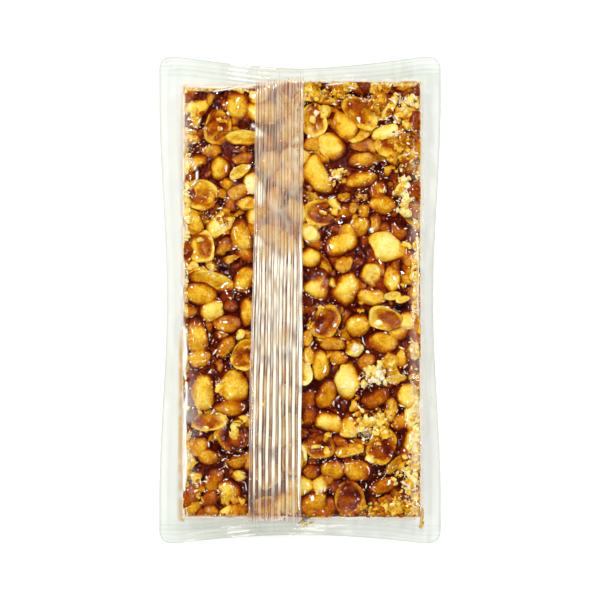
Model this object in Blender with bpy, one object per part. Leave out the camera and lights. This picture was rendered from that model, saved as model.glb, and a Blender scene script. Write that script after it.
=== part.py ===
"""Peanut brittle: roasted kernels set in dark caramel, cut to a slab and sealed in a clear flow-wrap pack.

The pack lies on its back with the folded fin seal up. It is one closed body, the outer form of the film
drawn tight round the slab: the kernels stand out of its top, its sides taper to a fold at half the slab's
height, both ends are pressed flat into crimped seals, and the fin seal is a ribbed strip along its middle.

X runs across the pack, Y along it and Z up. The origin is the middle of the flat underside.
Lengths are in millimetres, and turn into metres where the mesh is made.
"""

import bmesh
import bpy
import numpy as np

METRES_PER_MM = 0.001

# The slab of brittle, cut square, and how far its middle lies from the pack's.
SLAB_WIDTH = 75.0
SLAB_LENGTH = 137.5
SLAB_THICKNESS = 10.5
SLAB_OFFSET = (0.6, -0.3)

# The film's outline. It is drawn in at half its length, and each end is drawn in between its corners.
PACK_LENGTH = 155.5
PACK_WIDTH_AT_ENDS = 90.0
PACK_WIDTH_AT_MIDDLE = 85.1
WAIST_REACH = 64.0
TOP_END_DIP = 3.7
TOP_END_POWER = 1.5
BOTTOM_END_DIP = 2.6
BOTTOM_END_POWER = 1.8
DIP_HALF_WIDTH = 38.4
CORNER_RADIUS = 3.5

# The folds and end seals, at half the slab's height.
FOLD_HEIGHT = SLAB_THICKNESS / 2
FOLD_THICKNESS = 0.5
END_SEAL_WIDTH = 3.0
CRIMP_HEIGHT = 0.3
CORNER_BLEND = 3.0

# The fin seal, folded over to the left of the pack's centre line and leaning a little down its length.
FIN_ROOT_X = (1.0, 0.3)
FIN_FREE_X = (-14.0, -16.4)
FIN_STAND = 0.5
FIN_RIB_HEIGHT = 0.45
FIN_RIBS = 9

# The relief of kernels under the film.
FILM_LEVEL = SLAB_THICKNESS - 1.3
KERNEL_STAND = 1.6
CHIP_STAND = 1.0
KERNEL_ROUNDNESS = 0.6
RELIEF_UNDER_FIN = 0.35
CHIPS = 70
CHIP_LENGTHS = (4.5, 8.0)
CHIP_ASPECT = (0.6, 0.85)
CHIP_SPACING = 0.75
SEED = 11

# The grid of the upper side: its rows and columns between the lines that carry the form.
SIDE_COLUMNS = 3
LEFT_COLUMNS = 11
FIN_COLUMNS = 2 * FIN_RIBS
RIGHT_COLUMNS = 18
SEAL_ROWS = 6
TENT_ROWS = 3
SLAB_ROWS = 64
UNDERSIDE_RINGS = 3

# The largest kernels that show beside the fin: across, along, length, width, and turn in degrees from X.
KERNELS = [
    (-19.5, 62.7, 9.3, 8.6, 90),
    (-36.0, 51.5, 7.8, 5.4, -15),
    (-26.2, 54.9, 11.3, 8.6, 67),
    (-25.3, 42.0, 7.9, 6.6, 100),
    (-31.4, 33.3, 10.9, 9.2, -12),
    (-25.0, 24.3, 9.2, 6.0, 60),
    (-18.6, 21.8, 11.0, 7.6, 90),
    (-31.3, 17.1, 11.0, 8.7, 95),
    (-28.5, 6.1, 12.6, 5.0, -12),
    (-17.3, 7.0, 9.8, 6.8, 60),
    (-32.3, 1.9, 10.6, 6.8, -4),
    (-16.7, -3.3, 9.8, 6.0, 100),
    (-22.9, -7.9, 8.4, 5.6, 0),
    (-32.7, -10.7, 12.0, 7.2, 96),
    (-17.6, -17.3, 10.4, 7.8, 62),
    (-32.3, -18.5, 8.4, 5.8, 5),
    (-31.4, -29.0, 11.9, 8.3, 84),
    (-21.2, -27.6, 8.0, 7.2, 80),
    (-21.5, -33.9, 11.0, 5.8, 8),
    (-28.8, -38.7, 12.0, 5.8, 5),
    (-21.4, -43.2, 10.8, 8.7, 5),
    (-32.0, -46.7, 7.4, 6.0, 0),
    (-27.8, -56.6, 8.2, 6.4, 55),
    (-23.2, -61.0, 7.4, 6.8, 0),
    (3.8, 57.3, 9.6, 7.4, 110),
    (14.1, 55.7, 12.0, 8.6, -62),
    (18.9, 59.4, 13.6, 4.8, -47),
    (28.8, 50.7, 12.0, 8.8, -10),
    (9.9, 48.5, 9.6, 7.8, -50),
    (19.5, 38.4, 9.4, 4.6, 3),
    (6.0, 40.6, 11.6, 10.4, -35),
    (7.0, 27.7, 11.8, 8.8, -3),
    (26.6, 30.4, 8.6, 6.0, -6),
    (19.5, 24.0, 7.0, 6.2, 40),
    (13.1, 17.8, 11.4, 7.0, 32),
    (26.6, 17.0, 11.0, 8.8, 0),
    (29.5, 6.4, 9.0, 5.8, 88),
    (6.2, 5.1, 10.2, 9.2, 60),
    (14.7, 3.0, 11.6, 8.8, 55),
    (23.2, 1.1, 8.4, 5.4, -5),
    (8.0, -7.0, 11.0, 8.4, 60),
    (18.5, -7.7, 9.0, 7.0, 30),
    (27.2, -5.8, 10.8, 7.6, -12),
    (27.0, -13.4, 10.2, 6.2, -14),
    (6.6, -20.6, 8.4, 5.2, 95),
    (15.0, -25.6, 11.4, 10.0, -50),
    (8.3, -29.3, 9.4, 6.2, 80),
    (24.3, -31.2, 9.6, 6.6, 25),
    (34.0, -30.7, 7.8, 5.6, 95),
    (9.6, -38.9, 10.0, 7.2, -20),
    (15.9, -40.0, 8.0, 6.0, 80),
    (5.9, -46.2, 10.2, 8.2, 0),
    (25.8, -46.7, 11.6, 8.6, 76),
    (10.9, -53.9, 8.0, 7.0, 20),
    (18.7, -54.1, 9.2, 6.8, -8),
    (26.4, -58.9, 9.8, 5.2, 17),
    (16.0, -63.4, 10.8, 9.2, 100),
    (3.8, -65.0, 8.6, 6.2, 25),
]

# Principled material of the film with the slab showing through it.
FILM_OVER_BRITTLE = {"name": "film_over_brittle", "srgb": (0.66, 0.42, 0.17), "roughness": 0.22, "metallic": 0.0}


def linear(srgb):
    """Linear RGBA of an sRGB colour."""
    channels = [c / 12.92 if c <= 0.04045 else ((c + 0.055) / 1.055) ** 2.4 for c in srgb]
    return (*channels, 1.0)


def mix(a, b, t):
    return a + (b - a) * t


def smooth(t):
    """Ease from 0 to 1 as t goes from 0 to 1."""
    t = min(max(t, 0.0), 1.0)
    return t * t * (3.0 - 2.0 * t)


def half_width(y):
    """Distance from the pack's centre line to its side fold."""
    return mix(PACK_WIDTH_AT_MIDDLE, PACK_WIDTH_AT_ENDS, smooth(abs(y) / WAIST_REACH)) / 2


def half_length(x, sign):
    """Distance from the pack's middle to the end at +Y or -Y."""
    dip, power = (TOP_END_DIP, TOP_END_POWER) if sign > 0 else (BOTTOM_END_DIP, BOTTOM_END_POWER)
    reach = min(abs(x) / DIP_HALF_WIDTH, 1.0)
    return PACK_LENGTH / 2 - dip * (1.0 - reach ** power)


def along(knots, counts):
    """Stations through the knots, with the given number of equal steps between each two."""
    stations = [knots[0]]
    for low, high, count in zip(knots, knots[1:], counts):
        stations += [mix(low, high, (i + 1) / count) for i in range(count)]
    return stations


def across_stations(y):
    """Places of the grid's columns at a height y, and the fin's first and last column."""
    t = smooth(0.5 - y / PACK_LENGTH)
    left = SLAB_OFFSET[0] - SLAB_WIDTH / 2
    right = SLAB_OFFSET[0] + SLAB_WIDTH / 2
    knots = [-half_width(y), left, mix(*FIN_FREE_X, t), mix(*FIN_ROOT_X, t), right, half_width(y)]
    return along(knots, [SIDE_COLUMNS, LEFT_COLUMNS, FIN_COLUMNS, RIGHT_COLUMNS, SIDE_COLUMNS])


def length_stations(x):
    """Places of the grid's rows at a distance x from the centre line."""
    low = SLAB_OFFSET[1] - SLAB_LENGTH / 2
    high = SLAB_OFFSET[1] + SLAB_LENGTH / 2
    bottom = -half_length(x, -1)
    top = half_length(x, 1)
    knots = [bottom, bottom + END_SEAL_WIDTH, low, high, top - END_SEAL_WIDTH, top]
    return along(knots, [SEAL_ROWS, TENT_ROWS, SLAB_ROWS, TENT_ROWS, SEAL_ROWS])


def inside(kernel, x, y, margin=0.0):
    """How deep a point lies in a kernel's outline: 1 at its middle and 0 at its edge or outside."""
    cx, cy, length, width, turn = kernel
    c, s = np.cos(np.radians(turn)), np.sin(np.radians(turn))
    u = ((x - cx) * c + (y - cy) * s) / (length / 2 + margin)
    v = ((y - cy) * c - (x - cx) * s) / (width / 2 + margin)
    return np.maximum(0.0, 1.0 - u * u - v * v)


def scattered_chips():
    """Smaller kernels and pieces that fill the room between the large ones, also under the fin."""
    rng = np.random.RandomState(SEED)
    chips = []
    while len(chips) < CHIPS:
        x = SLAB_OFFSET[0] + rng.uniform(-0.48, 0.48) * SLAB_WIDTH
        y = SLAB_OFFSET[1] + rng.uniform(-0.48, 0.48) * SLAB_LENGTH
        length = rng.uniform(*CHIP_LENGTHS)
        width = length * rng.uniform(*CHIP_ASPECT)
        taken = any(inside(other, x, y, CHIP_SPACING * width / 2) > 0 for other in KERNELS + chips)
        if not taken:
            chips.append((x, y, length, width, rng.uniform(0, 180)))
    return chips


def kernel_relief(x, y, chips):
    """How far the kernel under a point lifts the film over its lowest level."""
    large = max(float(inside(kernel, x, y)) for kernel in KERNELS)
    small = max(float(inside(chip, x, y)) for chip in chips)
    return max(KERNEL_STAND * large ** KERNEL_ROUNDNESS, CHIP_STAND * small ** KERNEL_ROUNDNESS)


def fin_rise(fin_column):
    """How far the fin stands up at one of its columns, as ribs along its length."""
    if not 0 < fin_column < FIN_COLUMNS:
        return 0.0
    return FIN_STAND + (FIN_RIB_HEIGHT if fin_column % 2 else 0.0)


def top_point(column, row, chips):
    """Place of one grid point of the film's upper side."""
    first_y = length_stations(0.0)[row]
    x = across_stations(first_y)[column]
    y = length_stations(x)[row]
    x = across_stations(y)[column]

    fin_column = column - SIDE_COLUMNS - LEFT_COLUMNS
    under_fin = 0 <= fin_column <= FIN_COLUMNS
    slab_x = SLAB_OFFSET[0] + np.clip(x - SLAB_OFFSET[0], -SLAB_WIDTH / 2, SLAB_WIDTH / 2)
    slab_y = SLAB_OFFSET[1] + np.clip(y - SLAB_OFFSET[1], -SLAB_LENGTH / 2, SLAB_LENGTH / 2)
    sign = 1 if y > 0 else -1
    seal_edge = sign * (half_length(x, sign) - END_SEAL_WIDTH)
    side = abs(x - slab_x) / abs(np.copysign(half_width(y), x) - slab_x)
    end = abs(y - slab_y) / abs(seal_edge - slab_y)
    past = min(1.0, (side ** CORNER_BLEND + end ** CORNER_BLEND) ** (1.0 / CORNER_BLEND))
    relief = kernel_relief(slab_x, slab_y, chips) * (RELIEF_UNDER_FIN if under_fin else 1.0)
    z = mix(FILM_LEVEL + relief, FOLD_HEIGHT + FOLD_THICKNESS / 2, past) + fin_rise(fin_column)

    rows_from_end = min(row, 2 * (SEAL_ROWS + TENT_ROWS) + SLAB_ROWS - row)
    if rows_from_end < SEAL_ROWS and rows_from_end % 2:
        z += CRIMP_HEIGHT
    return x, y, z


def round_corner(x, y):
    """The same point with the pack's outline turned round its corners."""
    sign = 1 if y > 0 else -1
    edge_x = half_width(y)
    edge_y = half_length(x, sign)
    px = (abs(x) - edge_x + CORNER_RADIUS) / CORNER_RADIUS
    py = (abs(y) - edge_y + CORNER_RADIUS) / CORNER_RADIUS
    if px <= 0 or py <= 0:
        return x, y
    pull = max(px, py) / np.hypot(px, py)
    new_x = edge_x - CORNER_RADIUS + CORNER_RADIUS * px * pull
    new_y = edge_y - CORNER_RADIUS + CORNER_RADIUS * py * pull
    return np.copysign(new_x, x), np.copysign(new_y, y)


def shape_upper_side(mesh):
    """Lay a grid over the pack and move its points onto the film's upper side."""
    columns = 2 * SIDE_COLUMNS + LEFT_COLUMNS + FIN_COLUMNS + RIGHT_COLUMNS
    rows = 2 * (SEAL_ROWS + TENT_ROWS) + SLAB_ROWS
    bmesh.ops.create_grid(mesh, x_segments=columns, y_segments=rows, size=1.0)
    chips = scattered_chips()
    for vert in mesh.verts:
        column = round((vert.co.x + 1.0) / 2 * columns)
        row = round((vert.co.y + 1.0) / 2 * rows)
        x, y, z = top_point(column, row, chips)
        vert.co = (*round_corner(x, y), z)


def foot_of(point):
    """Where a point of the outline comes down to on the edge of the flat underside."""
    sign = 1 if point.y > 0 else -1
    x = SLAB_OFFSET[0] + SLAB_WIDTH / 2 * point.x / half_width(point.y)
    y = SLAB_OFFSET[1] + SLAB_LENGTH / 2 * point.y / half_length(point.x, sign)
    return x, y


def shape_underside(mesh):
    """Draw the outline down and in to the slab's flat underside, and close it."""
    edges = [edge for edge in mesh.edges if edge.is_boundary]
    outline = {vert: vert.co.copy() for edge in edges for vert in edge.verts}
    for ring in range(UNDERSIDE_RINGS + 1):
        made = bmesh.ops.extrude_edge_only(mesh, edges=edges)["geom"]
        edges = [item for item in made if isinstance(item, bmesh.types.BMEdge) and item.is_boundary]
        verts = {vert for edge in edges for vert in edge.verts}
        next_outline = {}
        for vert in verts:
            above = next(edge.other_vert(vert) for edge in vert.link_edges if edge.other_vert(vert) in outline)
            start = outline[above]
            t = ring / UNDERSIDE_RINGS
            foot = foot_of(start)
            z = mix(FOLD_HEIGHT - FOLD_THICKNESS / 2, 0.0, t)
            vert.co = (mix(start.x, foot[0], t), mix(start.y, foot[1], t), z)
            next_outline[vert] = start
        outline = next_outline
    bmesh.ops.contextual_create(mesh, geom=edges)


def make_material(name, srgb, roughness, metallic):
    """A Principled material with the pack's colour and gloss."""
    material = bpy.data.materials.new(name)
    material.use_nodes = True
    shader = material.node_tree.nodes["Principled BSDF"]
    shader.inputs["Base Color"].default_value = linear(srgb)
    shader.inputs["Roughness"].default_value = roughness
    shader.inputs["Metallic"].default_value = metallic
    return material


def make_sealed_pack():
    """The whole pack as one closed body."""
    mesh = bmesh.new()
    shape_upper_side(mesh)
    shape_underside(mesh)
    bmesh.ops.recalc_face_normals(mesh, faces=mesh.faces)
    bmesh.ops.scale(mesh, vec=(METRES_PER_MM,) * 3, verts=mesh.verts)
    data = bpy.data.meshes.new("sealed_pack")
    mesh.to_mesh(data)
    mesh.free()
    data.materials.append(make_material(**FILM_OVER_BRITTLE))
    data.shade_smooth()
    data.set_sharp_from_angle(angle=np.radians(50.0))
    pack = bpy.data.objects.new("sealed_pack", data)
    bpy.context.scene.collection.objects.link(pack)
    return pack


def main():
    for old in list(bpy.data.objects):
        bpy.data.objects.remove(old)
    make_sealed_pack()


main()
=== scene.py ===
"""The looks of a slab of peanut brittle in its sealed clear film pack, lying with the fin seal up.

Shapes are worked out in millimetres, with X across the pack, Y along it and Z up, and turn into metres
where a mesh is made. Heights over the slab are kept as maps: square grids of one height for each cell.
"""

import math

import bmesh
import bpy
import numpy as np
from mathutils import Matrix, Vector


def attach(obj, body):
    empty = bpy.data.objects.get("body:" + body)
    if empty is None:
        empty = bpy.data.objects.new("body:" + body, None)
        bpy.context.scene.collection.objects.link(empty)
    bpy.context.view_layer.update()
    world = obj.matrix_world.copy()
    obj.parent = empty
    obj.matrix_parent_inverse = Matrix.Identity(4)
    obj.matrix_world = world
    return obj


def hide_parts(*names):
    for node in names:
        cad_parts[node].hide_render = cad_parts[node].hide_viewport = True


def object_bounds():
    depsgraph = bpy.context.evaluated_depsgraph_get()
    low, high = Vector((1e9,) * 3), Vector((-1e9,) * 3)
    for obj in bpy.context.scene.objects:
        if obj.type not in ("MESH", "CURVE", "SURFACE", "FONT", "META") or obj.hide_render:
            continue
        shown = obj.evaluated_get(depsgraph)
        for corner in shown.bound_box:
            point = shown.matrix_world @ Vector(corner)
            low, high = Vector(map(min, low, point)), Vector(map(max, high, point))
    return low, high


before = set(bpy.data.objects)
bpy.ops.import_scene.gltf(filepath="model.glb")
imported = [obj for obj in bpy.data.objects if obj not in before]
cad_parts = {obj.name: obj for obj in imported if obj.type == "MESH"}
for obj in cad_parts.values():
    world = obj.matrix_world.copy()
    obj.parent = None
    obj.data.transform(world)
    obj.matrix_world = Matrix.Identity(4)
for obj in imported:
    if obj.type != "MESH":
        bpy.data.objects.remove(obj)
cad_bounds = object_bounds()

METRES_PER_MM = 0.001
SEED = 23
CAD_LOW, CAD_HIGH = (np.array(corner) / METRES_PER_MM for corner in cad_bounds)

# The slab, cut square, and how far its middle lies from the pack's.
SLAB_WIDTH = 75.0
SLAB_LENGTH = 137.5
SLAB_THICKNESS = 10.5
SLAB_OFFSET = (0.6, -0.3)
SLAB_LEFT = SLAB_OFFSET[0] - SLAB_WIDTH / 2
SLAB_RIGHT = SLAB_OFFSET[0] + SLAB_WIDTH / 2
SLAB_BOTTOM = SLAB_OFFSET[1] - SLAB_LENGTH / 2
SLAB_TOP = SLAB_OFFSET[1] + SLAB_LENGTH / 2
CORNER_LOSS = 1.5
UNDERSIDE = 0.3

# The film's outline, drawn in at half its length and between the corners of each end.
PACK_LENGTH = CAD_HIGH[1] - CAD_LOW[1]
PACK_WIDTH_AT_ENDS = CAD_HIGH[0] - CAD_LOW[0]
PACK_WIDTH_AT_MIDDLE = 85.1
WAIST_REACH = 64.0
TOP_END_DIP = (3.7, 1.5)
BOTTOM_END_DIP = (2.6, 1.8)
DIP_HALF_WIDTH = 38.4
CORNER_RADIUS = 3.5
FOLD_HEIGHT = SLAB_THICKNESS / 2
FILM_GAP = 0.25
FILM_PROUD = 0.35
FILM_OVER_FOOD = 0.06
FILM_SUCTION = 0.004
DRAPE_ROUNDS = 500
END_SEAL_WIDTH = 3.0
CRIMP_PITCH = 1.5
CRIMP_HEIGHT = 0.10
CRIMPED_WIDTH = 7.0

# Painted highlight on the film where it bends over the slab's cut edges: how white, and how far outside them.
EDGE_FRINGE = 0.7
FRINGE_OFF_LEFT = 0.0
FRINGE_OFF_RIGHT = 0.75
FRINGE_WIDTH = 0.45

# The fin seal, folded to the left of the centre line and leaning a little down its length.
FIN_ROOT_X = (1.0, 0.3)
FIN_FREE_X = (-14.0, -16.4)
FIN_THICKNESS = 0.1
FIN_LIFT = 0.25
FIN_ROWS = 240
# Every second rib is a broad one. The real ribs are finer; these are as coarse as they need to be to show.
RIB_COUNT = 16
RIB_SIDE = 0.2
RIB_TOPS = ((0.12, 0.32), (0.38, 0.72))
RIB_HEIGHT = 0.12
# Painted highlight on the ribs' crests, for all and for the thin ones: place along the pack and strength.
RIB_SHOWS = ((-78.0, 0.15), (-64.0, 0.3), (-56.0, 1.4), (-28.0, 1.5), (-14.0, 0.9), (14.0, 1.0), (19.0, 0.3),
             (78.0, 0.34))
THIN_RIB_SHOWS = ((-60.0, 0.15), (-24.0, 0.3), (-16.0, 0.9), (78.0, 1.0))
# Painted highlight along the fin's two edges.
FIN_EDGE_WHITENING = 0.55
# Painted glints on the fin: place along it, place and reach across as shares of its width, and reach along.
FIN_GLINTS = ((53.2, 0.04, 0.14, 1.2), (33.6, 0.12, 0.09, 3.4), (18.6, 0.06, 0.14, 1.8))
# Cloudy patches on the fin: across, along, reach across and along, strength.
FIN_PATCHES = ((-1.2, 50.0, 1.3, 15.0, 0.6), (-12.8, 22.0, 1.5, 5.0, 0.5), (-4.5, 10.0, 4.0, 3.5, 0.45),
               (-9.5, -1.0, 4.0, 6.0, 0.3), (-3.0, -16.0, 2.4, 3.5, 0.5), (-13.0, -14.0, 2.0, 5.0, 0.4),
               (-7.0, 29.5, 3.0, 3.4, 0.5), (-8.1, 65.7, 2.4, 2.6, 0.4), (-2.5, -3.0, 2.0, 6.0, 0.3),
               (-5.4, 56.1, 1.8, 2.6, 0.35), (-10.9, 41.0, 2.6, 3.0, 0.4), (-4.9, 43.3, 2.4, 2.8, 0.4),
               (-4.9, 22.5, 3.2, 3.0, 0.45), (-11.5, 47.5, 2.0, 2.6, 0.3), (-3.0, 34.5, 2.0, 2.4, 0.35))
# Oil stain on the fin below and above the place along the pack where it starts.
FIN_STAIN = (0.08, 0.28)
FIN_STAIN_START = 14.0
# How many cells the fin bridges between kernels, and the radius over which it stays stiff.
FIN_BRIDGING = 5
FIN_STIFFNESS = 3.5

# Caramel: its level between the kernels, how it creeps up against them, and how it thins over them.
CARAMEL_LEVEL = 6.6
CARAMEL_CREEP = 0.8
CREEP_RADIUS = 0.8
LUMP_RADIUS = 3.0
LUMP_HEIGHT = 0.45
RIPPLE_RADIUS = 0.7
RIPPLE_HEIGHT = 0.12
# Kernels darken near the caramel and below their tops: partly caramel coating their feet, partly painted
# shade.
GLAZE_DEPTH = 0.9
RUN_OFF_START = 0.2
RUN_OFF_DEPTH = 2.8
DISH_GLAZE = (0.2, 0.6)
UNDER_KERNEL = 0.25

# Sides of a map's cell and of the caramel mesh's faces, and the levels of points down its cut sides.
CELL = 0.4
CARAMEL_STEP = 0.47
SIDE_LEVELS = 6

# Lamps round the table: heading from +X, tilt from straight above in degrees, share of the light, and size in
# metres across and along. The two long ones add real highlights to the fin seal's ribs, whose white lines are
# painted.
LAMPS = (
    ("lamp_top_left", 125, 38, 0.26, 0.045, 0.045), ("lamp_left", 180, 45, 0.26, 0.04, 0.30),
    ("lamp_top", 85, 44, 0.16, 0.045, 0.045), ("lamp_top_right", 45, 36, 0.14, 0.045, 0.045),
    ("lamp_right", 0, 45, 0.16, 0.035, 0.30), ("lamp_bottom_right", -55, 40, 0.08, 0.045, 0.045),
    ("lamp_bottom_left", -120, 42, 0.12, 0.045, 0.045),
)
LAMP_DISTANCE = 0.75
SKY_STRENGTH = 0.03

# Metres: the table's half side, how far it lies below the pack, and the width that the camera sees.
TABLE_REACH = 3.0
TABLE_GAP = 0.0002
FRAME_WIDTH = 0.192
# Millimetres: the camera's lens and the width of its sensor.
LENS = 100.0
SENSOR = 36.0

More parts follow.
